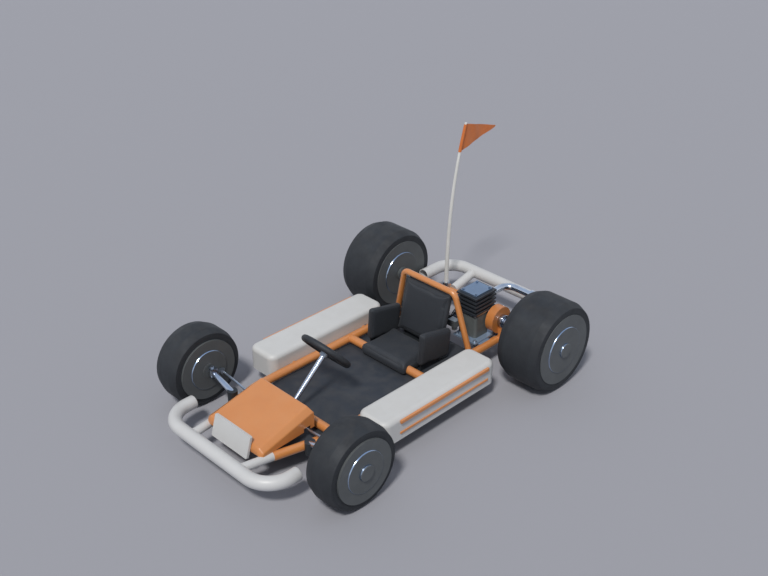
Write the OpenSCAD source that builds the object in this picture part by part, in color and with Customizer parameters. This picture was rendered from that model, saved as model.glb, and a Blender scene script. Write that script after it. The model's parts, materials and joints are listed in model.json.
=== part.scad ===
// Racing kart: a low tube frame with a wedge nose, side pods, two bumpers,
// a padded seat, a rear engine, four slick wheels and a tall pennant.
// Millimetres. X runs to the driver's left, Y to the rear and Z up. The origin
// is on the ground, under the middle of the whole length.

/* [Layout] */
// Front axle line to the rear axle line
wheelbase = 1050; // [1020:1:1150]
// Front axle line forward to the middle of the front bumper tube
front_overhang = 262; // [255:1:290]
// Rear axle line back to the middle of the rear bumper tube
rear_overhang = 295; // [285:1:330]
// Small gap left where one piece is laid or set on another
seat_gap = 0.3; // [0.2:0.05:0.5]
// Radial clearance of each turning fit
running_gap = 0.05; // [0.02:0.01:0.1]

/* [Frame tubes] */
// Diameter of the rails and the crossmembers
tube_d = 35; // [33:0.5:38]
// Wall of the frame tubes
tube_wall = 2.5; // [1.5:0.25:4]
// Height of the frame tubes' centre line over the ground
frame_z = 100; // [98:1:102]
// Centre plane to each rail, behind the bend
rail_half = 220; // [216:1:224]
// Centre plane to each rail at its front end
rail_front_half = 160; // [155:1:165]
// Rail front end ahead of the front axle
rail_front_reach = 120; // [115:1:130]
// Rail bend behind the front axle
rail_bend_back = 106; // [100:1:112]
// Radius of the rail bend
rail_bend_r = 150; // [100:5:200]
// Front crossmember behind the front axle
front_cross_back = 123; // [121:1:126]
// Seat crossmember behind the front axle
seat_cross_back = 612; // [608:1:615]
// Rear crossmember behind the rear axle
rear_cross_back = 155; // [150:1:165]
// Rail end past the rear crossmember
rail_tail = 24; // [20:1:40]

/* [Floor pan] */
// Thickness of the floor pan
pan_t = 2.5; // [1.5:0.5:4]
// Pan edge inside the rails' centre lines
pan_inset = 10; // [4:1:16]
// Front edge of the pan ahead of the front axle
pan_front = 95; // [80:1:105]
// Rear edge of the pan ahead of the rear axle
pan_rear = 140; // [120:1:150]

/* [Bumpers] */
// Diameter of both bumper tubes
bumper_d = 53; // [48:1:56]
// Wall of the bumper tubes
bumper_wall = 3; // [2:0.5:5]
// Height of the front bumper's centre line
front_bumper_z = 107; // [100:1:112]
// Centre plane to each side of the front bumper
front_bumper_half = 299; // [290:1:302]
// Bend radius of the front bumper
front_bumper_r = 105; // [90:1:115]
// Ends of the front bumper ahead of the front axle
front_bumper_end = 123; // [116:1:138]
// Height of the rear bumper's centre line
rear_bumper_z = 150; // [145:1:160]
// Centre plane to each side of the rear bumper
rear_bumper_half = 315; // [300:1:318]
// Bend radius of the rear bumper
rear_bumper_r = 95; // [80:1:110]
// Ends of the rear bumper behind the rear axle
rear_bumper_end = 108; // [100:1:130]
// Diameter of the front bumper struts
front_strut_d = 34; // [28:1:36]
// Centre plane to the front struts where they meet the bumper
front_strut_half = 137; // [132:1:145]
// Diameter of the rear bumper struts
rear_strut_d = 40; // [34:1:42]
// Centre plane to each rear strut
rear_strut_half = 173; // [165:1:178]

/* [Nose and plate] */
// Half width of the nose at its rear edge
nose_rear_half = 150; // [146:1:156]
// Half width of the nose at its front
nose_front_half = 160; // [156:1:166]
// Front face of the nose ahead of the front axle
nose_front = 171; // [166:1:175]
// Rear edge of the nose behind the front axle
nose_rear = 85; // [80:1:90]
// Height of the nose's top at the rear
nose_top_rear = 205; // [200:1:215]
// Height of the nose's top at the front
nose_top_front = 146; // [142:1:150]
// Bevel along the nose's edges
nose_bevel = 22; // [12:1:26]
// Wall of the nose shell
nose_wall = 4; // [3:0.5:6]
// Width of the number plate
plate_w = 202; // [180:1:210]
// Height of the number plate
plate_h = 89; // [80:1:95]
// Thickness of the number plate
plate_t = 10; // [6:1:12]
// Lean of the number plate from upright
plate_lean = 16.5; // [12:0.5:20]
// Lower edge of the number plate over the ground
plate_z = 93; // [88:1:98]
// Plate's lower edge ahead of the nose
plate_ahead = 22.3; // [21:0.1:26]

/* [Side pods] */
// Inner side of each pod from the centre plane
pod_in = 239; // [238:0.5:245]
// Outer side of each pod from the centre plane
pod_out = 380; // [370:1:385]
// Lower edge of the pods
pod_bottom = 73; // [65:1:80]
// Height of the pods' top
pod_top = 172; // [165:1:180]
// Front end of the pods behind the front axle
pod_front = 210; // [200:1:220]
// Rear end of the pods ahead of the rear axle
pod_rear = 235; // [225:1:250]
// Rounding of the pods' corners in plan
pod_corner_r = 35; // [25:1:40]
// Rounding of the pods' top edge
pod_edge_r = 20; // [12:1:24]
// Wall of the pods
pod_wall = 4; // [3:0.5:6]
// Diameter of the bars that carry the pods
pod_bar_d = 22; // [18:1:26]
// Pod bars in from the pods' ends
pod_bar_in = 110; // [80:1:140]
// Depth of the upper rub strip past the pod's side
strip_proud = 14; // [8:1:16]
// Depth of the lower rub strip past the pod's side
thin_strip_proud = 8; // [5:1:10]
// Lower edge of the upper rub strip
strip_z = 147; // [143:1:150]
// Height of the upper rub strip
strip_h = 20; // [14:1:22]
// Lower edge of the lower rub strip
thin_strip_z = 100; // [92:1:110]
// Height of the lower rub strip
thin_strip_h = 10; // [6:1:14]
// Rub strips in from the pod's front end
strip_front_in = 80; // [50:1:100]
// Rub strips in from the pod's rear end
strip_rear_in = 38; // [30:1:70]

/* [Seat] */
// Half width of the base cushion
base_half = 125; // [115:1:125]
// Front edge of the base cushion ahead of the seat crossmember
base_lip = 35; // [25:1:40]
// Length of the base cushion
base_len = 198; // [190:1:199]
// Thickness of the base cushion at its edge
base_t = 42; // [38:1:46]
// Swell of the cushions at their middle
cushion_crown = 6; // [3:1:9]
// Edge rounding of the cushions
cushion_round = 14; // [10:1:15]
// Share by which the cushions' sides draw in
cushion_draw = 0.025; // [0:0.005:0.04]
// Half width of the back cushion
back_half = 123; // [112:1:123]
// Height of the back cushion
back_h = 235; // [215:1:238]
// Thickness of the back cushion
back_t = 34; // [30:1:38]
// Lean of the back cushion from upright
back_lean = 13.4; // [10:0.2:16]
// Lower front edge of the back cushion behind the seat crossmember
back_y = 167.5; // [166:0.5:172]
// Lower front edge of the back cushion over the ground
back_z = 118; // [114:1:122]
// Thickness of each side bolster
bolster_t = 31.5; // [28:0.5:34]
// Height of the bolsters' front edge
bolster_h = 139; // [125:1:145]
// Length of the bolsters' top edge
bolster_len = 177; // [165:1:180]
// Lower front corner of the bolsters over the ground
bolster_z = 117; // [114:1:125]
// Thickness of the steel seat tray and its uprights
tray_t = 3; // [2:0.5:4]

/* [Seat hoop] */
// Diameter of the hoop tube
hoop_d = 25; // [20:1:28]
// Wall of the hoop tube
hoop_wall = 2; // [1.5:0.25:3]
// Half the spacing of the hoop's feet
hoop_foot_half = 207; // [204:1:212]
// Centre plane to each top corner of the hoop
hoop_top_half = 138; // [132:1:150]
// Height of the hoop's top bar over its feet
hoop_h = 260; // [256:1:280]
// Forward lean of the hoop's top over its feet
hoop_lean = 24; // [16:1:26]
// Corner radius of the hoop
hoop_r = 30; // [25:1:45]
// Hoop feet ahead of the rear axle
hoop_ahead = 174.6; // [170:0.2:180]

/* [Steering] */
// Column's lower reference point behind the front axle
column_back = 110; // [108:0.5:111]
// Height of that point
column_z = 128; // [127.5:0.25:131]
// Slope of the column over level ground
column_tilt = 41.6; // [40:0.2:44]
// Diameter of the steering column
column_d = 20; // [18:0.5:20]
// Reference point to the steering wheel along the column
column_len = 233; // [215:1:250]
// Radius of the grip ring's centre line
wheel_ring_r = 95; // [85:1:105]
// Thickness of the grip ring
wheel_grip_d = 26; // [22:1:30]
// Number of steering wheel spokes
spoke_n = 3; // [3:1:4]
// Throw of the arm at the foot of the column
pitman_r = 27; // [24:1:28]
// Diameter of the stud that both rod eyes hang on
stud_d = 6; // [5:0.5:7]
// Bore of the rod eyes on the stud, wide for the arm's arc
inner_eye_bore = 12; // [11.5:0.25:13]
// Diameter of the rod eyes on the stud
inner_eye_d = 20; // [18:0.5:22]
// Thickness of the rod eyes on the stud
inner_eye_t = 7; // [6:0.5:8]
// Rod eyes set towards the column at rest
inner_eye_set = 2.15; // [2:0.05:2.3]
// Diameter of the tie rods
tie_rod_d = 10; // [8:0.5:10]
// Length of the arm at each front wheel
knuckle_arm = 48; // [46:1:52]
// Height of the outer rod eyes
outer_eye_z = 140.5; // [139:0.5:141.5]
// Diameter of the pins at the outer rod eyes
outer_pin_d = 8; // [6:0.5:9]

/* [Front axle] */
// Diameter of the front axle beams
beam_d = 24; // [20:1:26]
// Centre plane to each kingpin
kingpin_half = 345; // [343:1:346]
// Diameter of the kingpins
kingpin_d = 10; // [8:1:12]
// Radius of the knuckle barrel and of the yoke lugs
barrel_r = 12; // [11:0.5:12.5]
// Height of the knuckle barrel
barrel_h = 28; // [26:1:30]
// Height of the beam where it enters the clamp
beam_inner_z = 123.5; // [120:0.5:130]
// Diameter of the stub axles
stub_d = 16; // [14:0.5:18]
// Radius of the axle clamps
clamp_r = 20; // [18:0.5:22]
// Height of the axle clamps' top
clamp_top = 135; // [132:0.5:138]

/* [Front wheels] */
// Radius of the front tyres
front_tyre_r = 160; // [155:1:165]
// Width of the front tyres
front_tyre_w = 125; // [115:1:130]
// Outer face of the front tyres from the centre plane
front_tyre_out = 498; // [496:1:505]
// Depth of the front tyres' shoulder bevel
front_shoulder_d = 10; // [6:1:14]
// Width of the front tyres' shoulder bevel
front_shoulder_w = 34; // [20:1:38]
// Radius of the front wheel discs
front_disc_r = 124; // [118:1:130]
// Front discs proud of the tyre's faces
front_disc_proud = 8; // [6:0.5:9]
// Radius at which the front tyre sits on its rim
front_bead_r = 104; // [98:1:108]

/* [Rear wheels] */
// Radius of the rear tyres
rear_tyre_r = 189; // [184:1:194]
// Width of the rear tyres
rear_tyre_w = 191; // [180:1:195]
// Outer face of the rear tyres from the centre plane
rear_tyre_out = 542; // [540:1:550]
// Depth of the rear tyres' shoulder bevel
rear_shoulder_d = 14.5; // [8:0.5:18]
// Width of the rear tyres' shoulder bevel
rear_shoulder_w = 33; // [20:1:40]
// Radius of the rear wheel discs
rear_disc_r = 148; // [140:1:154]
// Rear discs proud of the tyre's faces
rear_disc_proud = 2.5; // [2:0.5:5]
// Radius at which the rear tyre sits on its rim
rear_bead_r = 124; // [116:1:130]
// Diameter of the live rear axle
axle_d = 32; // [30:0.5:34]

/* [Wheel details] */
// Height of the raised middle of each disc
step_h = 3.5; // [2:0.5:4]
// Share of the disc's radius that is raised
step_share = 0.65; // [0.5:0.01:0.75]
// Radius of the hub caps
cap_r = 30; // [26:1:34]
// Height of the hub caps over the disc
cap_h = 12; // [10:0.5:14]
// Wall of the tyres
tyre_wall = 10; // [6:1:12]
// Wall of the rims
rim_wall = 4; // [3:0.5:6]
// Radius of the hub inside each wheel
hub_r = 26; // [24:1:28]

/* [Brake and final drive] */
// Outside radius of the brake drum
drum_r = 58; // [54:1:60]
// Inner face of the brake drum from the centre plane
drum_in = 187; // [186.5:0.5:188]
// Width of the brake drum
drum_w = 35; // [32:0.5:35]
// Wall of the brake drum
drum_wall = 4; // [3:0.5:5]
// Free gap between the brake shoes and the drum
shoe_gap = 1.5; // [1:0.1:2]
// Teeth on the engine sprocket
engine_teeth = 10; // [9:1:11]
// Teeth on the axle sprocket
axle_teeth = 25; // [23:1:27]
// Pitch of the chain
chain_pitch = 13; // [12:0.25:13.5]
// Width of the sprockets
sprocket_w = 6; // [4:0.5:7]
// Middle of the chain from the centre plane
chain_x = 50; // [44:1:54]
// Inner face of the bearing carriers
carrier_in = 226; // [225.5:0.5:228]
// Width of the bearing carriers
carrier_w = 16; // [14:1:20]

/* [Engine] */
// Inner side of the engine block from the centre plane
block_in = 85; // [83:0.5:87]
// Width of the engine block
block_w = 95; // [92:0.5:96]
// Front of the engine block ahead of the rear axle
block_front = 109; // [105:1:112]
// Length of the engine block
block_len = 84; // [78:1:86]
// Height of the engine block over its mount
block_h = 110; // [106:1:114]
// Thickness of the engine mount plate
mount_t = 7.5; // [6:0.5:9]
// Number of cooling fins
fin_n = 5; // [4:1:7]
// Thickness of one cooling fin
fin_t = 8; // [5:0.5:9]
// Height of the finned cylinder
fin_stack_h = 80; // [76:1:86]
// Crankshaft diameter
crank_d = 16; // [14:0.5:18]
// Diameter of the exhaust pipe
exhaust_d = 30; // [26:1:34]
// Bend radius of the exhaust pipe
exhaust_r = 50; // [40:1:60]
// Exhaust cross run behind the rear axle
exhaust_back = 155; // [150:1:165]
// Height of the exhaust pipe
exhaust_z = 257; // [252:1:262]

/* [Pedals] */
// Pedal pivots ahead of the front axle
pedal_ahead = 22; // [18:1:28]
// Height of the pedal pivots over the floor pan
pedal_pivot_h = 12; // [11:0.5:14]
// Length of the pedals
pedal_len = 74; // [65:1:76]
// Rearward lean of the released pedals
pedal_lean = 16; // [12:1:20]
// Centre plane to the middle of each pedal
pedal_half = 78; // [70:1:90]
// Width of the pedal pads
pedal_w = 46; // [36:1:50]
// Diameter of the pedal pins
pedal_pin_d = 10; // [8:0.5:11]

/* [Flag] */
// Flag pole from the centre plane, on the driver's right
flag_x = 200; // [196:1:203]
// Foot of the flag pole behind the rear axle
flag_back = 134; // [130:1:138]
// Height of the pole's top
pole_top = 874; // [780:2:950]
// Rearward sweep of the pole's top
pole_sweep = 92; // [40:1:130]
// Diameter of the pole at its foot
pole_foot_d = 20; // [16:0.5:22]
// Diameter of the pole at its top
pole_tip_d = 11; // [8:0.5:12]
// Depth of the pennant along the pole
pennant_hoist = 115; // [90:1:130]
// Length of the pennant
pennant_len = 204; // [150:1:230]
// Wave of the pennant to each side
pennant_wave = 4; // [0:0.5:8]

/* [Hidden] */
$fn = 48;
ORANGE = "#d0783c";
WHITE = "#d8d8d6";
RUBBER = "#2a2d31";
DISC = "#4c5053";
STEEL = "#aab2ba";
PLATE_BLUE = "#6d829b";
PAD = "#25282b";
DARK = "#3a3f44";
CHROME = "#d5dbe2";

// Flag pole curve: upright in its socket, then sweeping back at a growing rate
pole_foot_z = frame_z + tube_d / 2 + seat_gap;
pole_bow_z = frame_z + 22;
pole_power = 2.5;
pennant_top_gap = 5;
pennant_t = 2.4;
function pole_share(z) = max(0, z - pole_bow_z) / (pole_top - pole_bow_z);
function pole_y_shift(z) = pole_sweep * pow(pole_share(z), pole_power);
function pole_radius(z) = (pole_foot_d + (pole_tip_d - pole_foot_d)
  * (z - pole_foot_z) / (pole_top - pole_foot_z)) / 2;
function hoist_shift(z) = pole_y_shift(z) + pole_radius(z) + seat_gap;
pennant_mid_z = pole_top - pennant_top_gap - pennant_hoist / 2;
flag_reach = flag_back + hoist_shift(pennant_mid_z) + pennant_len;

// Axle lines, set so that the whole length is centred on the origin
length_all = front_overhang + bumper_d / 2 + wheelbase + flag_reach;
front_y = -length_all / 2 + bumper_d / 2 + front_overhang;
rear_y = front_y + wheelbase;

// Heights that follow from the frame
tube_top = frame_z + tube_d / 2;
pan_top = frame_z - tube_d / 2 - seat_gap;
front_cross_y = front_y + front_cross_back;
seat_cross_y = front_y + seat_cross_back;
rear_cross_y = rear_y + rear_cross_back;
rail_points = [
  [rail_half, rear_cross_y + rail_tail],
  [rail_half, front_y + rail_bend_back],
  [rail_front_half, front_y - rail_front_reach]
];

// Straight round bar from a to b
module rod(a, b, d) {
  v = b - a;
  translate(a)
    rotate([0, acos(v[2] / norm(v)), atan2(v[1], v[0])])
      cylinder(h = norm(v), d = d);
}

// Slab with its upright corners rounded
module round_slab(w, len, h, r) {
  linear_extrude(h)
    union() {
      translate([r, 0]) square([w - 2 * r, len]);
      translate([0, r]) square([w, len - 2 * r]);
      for (x = [r, w - r])
        for (y = [r, len - r])
          translate([x, y]) circle(r = r);
    }
}

function flat(q) = [q[0], q[1], 0];
function unit(a, b) = (b - a) / norm(b - a);
function turn(p, i) = let (u = unit(p[i - 1], p[i]), v = unit(p[i], p[i + 1]))
  atan2(u[0] * v[1] - u[1] * v[0], u * v);
function tangent(p, i, r) = r * tan(abs(turn(p, i)) / 2);

// Round bar along a flat path, with a bend of radius r at each inner point.
// A fine weld bead covers each seam between a straight and a bend.
seam = 0.3;
bead_w = 3;
bead_h = 0.2;

module bent_bar(p, r, d, past = 0) {
  last = len(p) - 2;
  for (i = [0 : last]) {
    u = unit(p[i], p[i + 1]);
    a = p[i] + u * (i == 0 ? -past : tangent(p, i, r) + seam);
    b = p[i + 1] - u * (i == last ? -past : tangent(p, i + 1, r) + seam);
    rod(flat(a), flat(b), d);
    if (i > 0) rod(flat(a - u * bead_w / 2), flat(a + u * bead_w / 2), d + 2 * bead_h);
    if (i < last) rod(flat(b - u * bead_w / 2), flat(b + u * bead_w / 2), d + 2 * bead_h);
  }
  for (i = [1 : last]) {
    u = unit(p[i - 1], p[i]);
    side = sign(turn(p, i));
    inward = side * [-u[1], u[0]];
    centre = p[i] - u * tangent(p, i, r) + inward * r;
    from = atan2(-inward[1], -inward[0]);
    skip = seam / r * 180 / PI;
    translate(flat(centre))
      rotate([0, 0, (side > 0 ? from : from + turn(p, i)) + skip])
        rotate_extrude(angle = abs(turn(p, i)) - 2 * skip, $fn = 96)
          translate([r, 0])
            circle(d = d, $fn = 48);
  }
}

// Bent bar with a bore right through it
module bent_tube(p, r, d, wall) {
  difference() {
    bent_bar(p, r, d);
    bent_bar(p, r, d - 2 * wall, 1);
  }
}

// The children on the driver's left, and again mirrored on the right
module both_sides() {
  children();
  mirror([1, 0, 0]) children();
}

module rail_bar() {
  translate([0, 0, frame_z])
    bent_bar(rail_points, rail_bend_r, tube_d);
}

module rail() {
  color(ORANGE)
    translate([0, 0, frame_z])
      bent_tube(rail_points, rail_bend_r, tube_d, tube_wall);
}

module left_rail() { rail(); }

module right_rail() { mirror([1, 0, 0]) rail(); }

// Crossmember bar, whole, as other pieces are cut to it
module cross_bar(y, d = tube_d) {
  rod([-rail_half, y, frame_z], [rail_half, y, frame_z], d);
}

// Crossmember with its ends cut to the rails' round sides, just short of the
// rails' top lines
cope_half = rail_half - 4;

module crossmember(y) {
  color(ORANGE)
    difference() {
      rod([-cope_half, y, frame_z], [cope_half, y, frame_z], tube_d);
      cross_bar(y, tube_d - 2 * tube_wall);
      both_sides() rail_bar();
    }
}

module front_crossmember() { crossmember(front_cross_y); }

module seat_crossmember() { crossmember(seat_cross_y); }

// Rear crossmember with the welded socket that holds the flag pole
socket_d = pole_foot_d + 8;
socket_top = tube_top + 32;
socket_foot = frame_z - 2;

module rear_crossmember() {
  crossmember(rear_cross_y);
  color(STEEL)
    difference() {
      translate([-flag_x, rear_y + flag_back, socket_foot])
        cylinder(h = socket_top - socket_foot, d = socket_d);
      translate([-flag_x, rear_y + flag_back, pole_foot_z])
        cylinder(h = socket_top, d = pole_foot_d + 2 * seat_gap);
      mirror([1, 0, 0]) rail_bar();
      cross_bar(rear_cross_y);
    }
}

// Floor pan under the rails, narrowing with them to the front
module floor_pan() {
  slope = (rail_half - rail_front_half) / (rail_front_reach + rail_bend_back);
  bend_half = rail_half - pan_inset;
  front_half = bend_half - slope * (rail_bend_back + pan_front);
  side = [
    [bend_half, rear_y - pan_rear],
    [bend_half, front_y + rail_bend_back],
    [front_half, front_y - pan_front]
  ];
  color("#39404a")
    translate([0, 0, pan_top - pan_t])
      linear_extrude(pan_t)
        polygon(concat(side, [for (i = [2 : -1 : 0]) [-side[i][0], side[i][1]]]));
}

front_bumper_y = front_y - front_overhang;
rear_bumper_y = rear_y + rear_overhang;
front_bumper_points = [
  [front_bumper_half, front_y - front_bumper_end],
  [front_bumper_half, front_bumper_y],
  [-front_bumper_half, front_bumper_y],
  [-front_bumper_half, front_y - front_bumper_end]
];
rear_bumper_points = [
  [rear_bumper_half, rear_y + rear_bumper_end],
  [rear_bumper_half, rear_bumper_y],
  [-rear_bumper_half, rear_bumper_y],
  [-rear_bumper_half, rear_y + rear_bumper_end]
];

// Front bumper: a wide U with a plug in each end
module front_bumper() {
  plug_t = 3;
  color(WHITE) {
    translate([0, 0, front_bumper_z])
      bent_tube(front_bumper_points, front_bumper_r, bumper_d, bumper_wall);
    both_sides()
      translate([front_bumper_half, front_bumper_points[0][1], front_bumper_z])
        rotate([-90, 0, 0])
          cylinder(h = plug_t, d = bumper_d);
  }
}

module rear_bumper() {
  color(WHITE)
    translate([0, 0, rear_bumper_z])
      bent_tube(rear_bumper_points, rear_bumper_r, bumper_d, bumper_wall);
}

module front_strut_bar(d) {
  start_in = 6;
  rod([rail_front_half, front_y - rail_front_reach + start_in, frame_z],
    [front_strut_half, front_bumper_y, front_bumper_z], d);
}

// Front struts, from the rails' ends to the bumper
module front_bumper_struts() {
  color(WHITE)
    both_sides()
      difference() {
        front_strut_bar(front_strut_d);
        rail_bar();
        translate([0, 0, front_bumper_z])
          bent_bar(front_bumper_points, front_bumper_r, bumper_d);
      }
}

// Rear struts, up from the rear crossmember to the bumper
module rear_bumper_struts() {
  rise_from = tube_top - 0.5;
  color(WHITE)
    both_sides()
      difference() {
        rod([rear_strut_half, rear_cross_y, rise_from],
          [rear_strut_half, rear_bumper_y, rear_bumper_z], rear_strut_d);
        cross_bar(rear_cross_y);
        translate([0, 0, rear_bumper_z])
          bent_bar(rear_bumper_points, rear_bumper_r, bumper_d);
      }
}

nose_front_y = front_y - nose_front;
nose_rear_y = front_y + nose_rear;
nose_bottom = tube_top + seat_gap;

// Corners of the nose wedge, drawn in by t on the outside faces. Past the open
// rear and the open underside the hollow runs through by the value past.
function nose_corners(t, past) = let (
  side_top_front = nose_top_front - nose_bevel * 0.75,
  lip = 13
) [
  [nose_rear_half - t, nose_rear_y + past, nose_bottom - past],
  [nose_rear_half - t, nose_rear_y + past, nose_top_rear - nose_bevel - t],
  [nose_rear_half - nose_bevel - t / 2, nose_rear_y - lip + past, nose_top_rear - t],
  [nose_front_half - t, nose_front_y + nose_bevel / 2 + t, nose_bottom - past],
  [nose_front_half - t, nose_front_y + nose_bevel / 2 + t, side_top_front - t],
  [nose_front_half - nose_bevel / 2 - t, nose_front_y + t, nose_bottom - past],
  [nose_front_half - nose_bevel - t / 2, nose_front_y + t, side_top_front - t],
  [nose_front_half - nose_bevel - t / 2, nose_front_y + nose_bevel / 3 + t, nose_top_front - t]
];

module nose_form(t = 0, past = 0) {
  grain = 0.5;
  hull()
    both_sides()
      for (p = nose_corners(t, past))
        translate(p - [grain, 0, grain] / 2)
          cube([grain, grain, grain] / 2);
}

// Nose shell, open behind and below, slotted for the tie rods and the struts
module nose_cone() {
  slot_len = 34;
  slot_top = 133;
  color(ORANGE)
    difference() {
      nose_form();
      nose_form(nose_wall, 6);
      translate([-rail_half, tie_rod_y - slot_len / 2, nose_bottom - 1])
        cube([2 * rail_half, slot_len, slot_top - nose_bottom + 1]);
      both_sides() front_strut_bar(front_strut_d + 2 * seat_gap);
    }
}

module plate_place() {
  translate([0, nose_front_y - plate_ahead, plate_z])
    rotate([90 - plate_lean, 0, 0])
      mirror([0, 0, 1])
        children();
}

// Bare number plate with cut corners, on two spacers against the nose
module number_plate() {
  corner = 4;
  spacer_w = 24;
  spacer_z = nose_bottom + 3;
  spacer_h = 10;
  w = plate_w / 2;
  color(WHITE)
    plate_place()
      linear_extrude(plate_t)
        polygon([[-w, corner], [corner - w, 0], [w - corner, 0], [w, corner],
          [w, plate_h - corner], [w - corner, plate_h],
          [corner - w, plate_h], [-w, plate_h - corner]]);
  color(DARK)
    both_sides()
      difference() {
        translate([plate_w / 4, nose_front_y - plate_ahead, spacer_z])
          cube([spacer_w, plate_ahead, spacer_h]);
        plate_place()
          translate([-plate_w / 2, -plate_h, -plate_h + plate_t + set_gap])
            cube([plate_w, 3 * plate_h, plate_h]);
      }
}

pod_front_y = front_y + pod_front;
pod_rear_y = rear_y - pod_rear;
pod_bar_ys = [pod_front_y + pod_bar_in, pod_rear_y - pod_bar_in];

// One corner post of a pod: round in plan, with a rounded top edge
module pod_post(t, bottom) {
  r = pod_corner_r - t;
  e = pod_edge_r - t;
  top = pod_top - t;
  rotate_extrude($fn = 32)
    union() {
      translate([0, bottom]) square([r, top - e - bottom]);
      translate([0, bottom]) square([r - e, top - bottom]);
      translate([r - e, top - e])
        intersection() {
          circle(r = e, $fn = 32);
          square(e);
        }
    }
}

// Pod form drawn in by t, down to the given height
module pod_form(t, bottom) {
  hull()
    for (x = [pod_in + pod_corner_r, pod_out - pod_corner_r])
      for (y = [pod_front_y + pod_corner_r, pod_rear_y - pod_corner_r])
        translate([x, y, 0])
          pod_post(t, bottom);
}

module side_pod() {
  color(WHITE)
    difference() {
      pod_form(0, pod_bottom);
      pod_form(pod_wall, pod_bottom - 1);
      for (y = pod_bar_ys)
        rod([rail_half, y, frame_z], [pod_in + 2 * pod_wall, y, frame_z],
          pod_bar_d + 2 * seat_gap);
    }
}

module left_side_pod() { side_pod(); }

module right_side_pod() { mirror([1, 0, 0]) side_pod(); }

// Rub strip cut to the pod's side, with rounded ends
module rub_strip(z, h, proud) {
  depth = proud + pod_edge_r;
  end_r = proud / 2;
  y0 = pod_front_y + strip_front_in;
  y1 = pod_rear_y - strip_rear_in;
  difference() {
    union() {
      translate([pod_out - pod_edge_r, y0, z])
        cube([depth - end_r, y1 - y0, h]);
      translate([pod_out - pod_edge_r, y0 + end_r, z])
        cube([depth, y1 - y0 - 2 * end_r, h]);
      for (y = [y0 + end_r, y1 - end_r])
        translate([pod_out + proud - end_r, y, z])
          cylinder(h = h, r = end_r);
    }
    translate([pod_in, y0 - 1, 0])
      cube([pod_out - pod_in, y1 - y0 + 2, pod_top - pod_edge_r]);
    rod([pod_out - pod_edge_r, y0 - 1, pod_top - pod_edge_r],
      [pod_out - pod_edge_r, y1 + 1, pod_top - pod_edge_r], 2 * pod_edge_r);
  }
}

module side_pod_strips() {
  color(ORANGE)
    both_sides() {
      rub_strip(strip_z, strip_h, strip_proud);
      rub_strip(thin_strip_z, thin_strip_h, thin_strip_proud);
    }
}

// Bars from the rails through the pods' inner walls to their outer walls
module side_pod_bars() {
  color(ORANGE)
    both_sides()
      for (y = pod_bar_ys)
        difference() {
          rod([rail_half, y, frame_z],
            [pod_out - pod_wall - seat_gap, y, frame_z], pod_bar_d);
          rail_bar();
        }
}

tray_top = pan_top + tray_t;
base_front_y = seat_cross_y - base_lip;
back_foot_y = seat_cross_y + back_y;
upright_x = base_half + seat_gap + bolster_t / 2 - tray_t / 2;
upright_top = bolster_z + bolster_h - 40;
overlap = 0.01;

module back_place() {
  translate([0, back_foot_y, back_z])
    rotate([-back_lean, 0, 0])
      children();
}

// Steel tray on the pan, with side uprights and a plate behind the back pad
module seat_frame() {
  tray_front = seat_cross_y + tube_d / 2 + 2;
  tray_rear = back_foot_y + back_t + 4;
  upright_back = 22;
  upright_len = 110;
  plate_half = 100;
  plate_foot = 20;
  plate_top = back_h - 24;
  half = upright_x + tray_t;
  color(DARK) {
    translate([-half, tray_front, pan_top])
      cube([2 * half, tray_rear - tray_front, tray_t]);
    both_sides()
      translate([upright_x, tray_front + upright_back, pan_top])
        cube([tray_t, upright_len, upright_top - pan_top]);
    difference() {
      back_place()
        translate([-plate_half, back_t + seat_gap, pan_top - back_z - plate_foot])
          cube([2 * plate_half, tray_t, back_z - pan_top + plate_foot + plate_top]);
      translate([-rail_half, tray_front, -pan_top])
        cube([2 * rail_half, 2 * base_len, 2 * pan_top + overlap]);
    }
  }
}

// Padded form over a four-cornered outline: rounded edges, a crowned face and
// sides that draw in between the corners. Corners run counter-clockwise.
pad_points = 36;
pad_edge_rings = 4;
pad_face_rings = 4;
pad_square = 0.34;

function bow(v) = 1 - cushion_draw * (1 - v * v);
function square_off(v) = sign(v) * pow(abs(v), pad_square);
function unit_ring(s) = [for (i = [0 : pad_points - 1]) let (
  a = 360 * (i + 0.5) / pad_points,
  x = square_off(cos(a)),
  y = square_off(sin(a))
) [x * bow(y), y * bow(x)] * s];
function in_corners(c, p) = let (u = (p[0] + 1) / 2, v = (p[1] + 1) / 2)
  c[0] * (1 - u) * (1 - v) + c[1] * u * (1 - v) + c[2] * u * v + c[3] * (1 - u) * v;
function pad_ring(c, s, z) = [for (p = unit_ring(s)) let (q = in_corners(c, p)) [q[0], q[1], z]];

module pad(c, t, crown) {
  half = min(norm(c[1] - c[0]), norm(c[2] - c[1])) / 2;
  edge = [for (k = [0 : pad_edge_rings]) let (a = 90 * k / pad_edge_rings)
    [1 - cushion_round * (1 - cos(a)) / half, t / 2 - cushion_round * (1 - sin(a))]];
  face = [for (k = [1 : pad_face_rings - 1]) let (s = 1 - k / pad_face_rings)
    [edge[pad_edge_rings][0] * s, t / 2 + crown * (1 - s * s)]];
  top = concat(edge, face);
  rings = concat([for (k = [len(top) - 1 : -1 : 0]) [top[k][0], -top[k][1]]], top);
  middle = in_corners(c, [0, 0]);
  points = concat(
    [[middle[0], middle[1], -t / 2 - crown]],
    [for (r = rings) each pad_ring(c, r[0], r[1])],
    [[middle[0], middle[1], t / 2 + crown]]
  );
  n = pad_points;
  last = len(points) - 1;
  faces = concat(
    [for (i = [0 : n - 1]) [0, 1 + i, 1 + (i + 1) % n]],
    [for (k = [0 : len(rings) - 2]) for (i = [0 : n - 1]) let (
      a = 1 + k * n + i,
      b = 1 + k * n + (i + 1) % n
    ) each [[a, a + n, b + n], [a, b + n, b]]],
    [for (i = [0 : n - 1]) [last, last - n + (i + 1) % n, last - n + i]]
  );
  polyhedron(points, faces);
}

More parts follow.
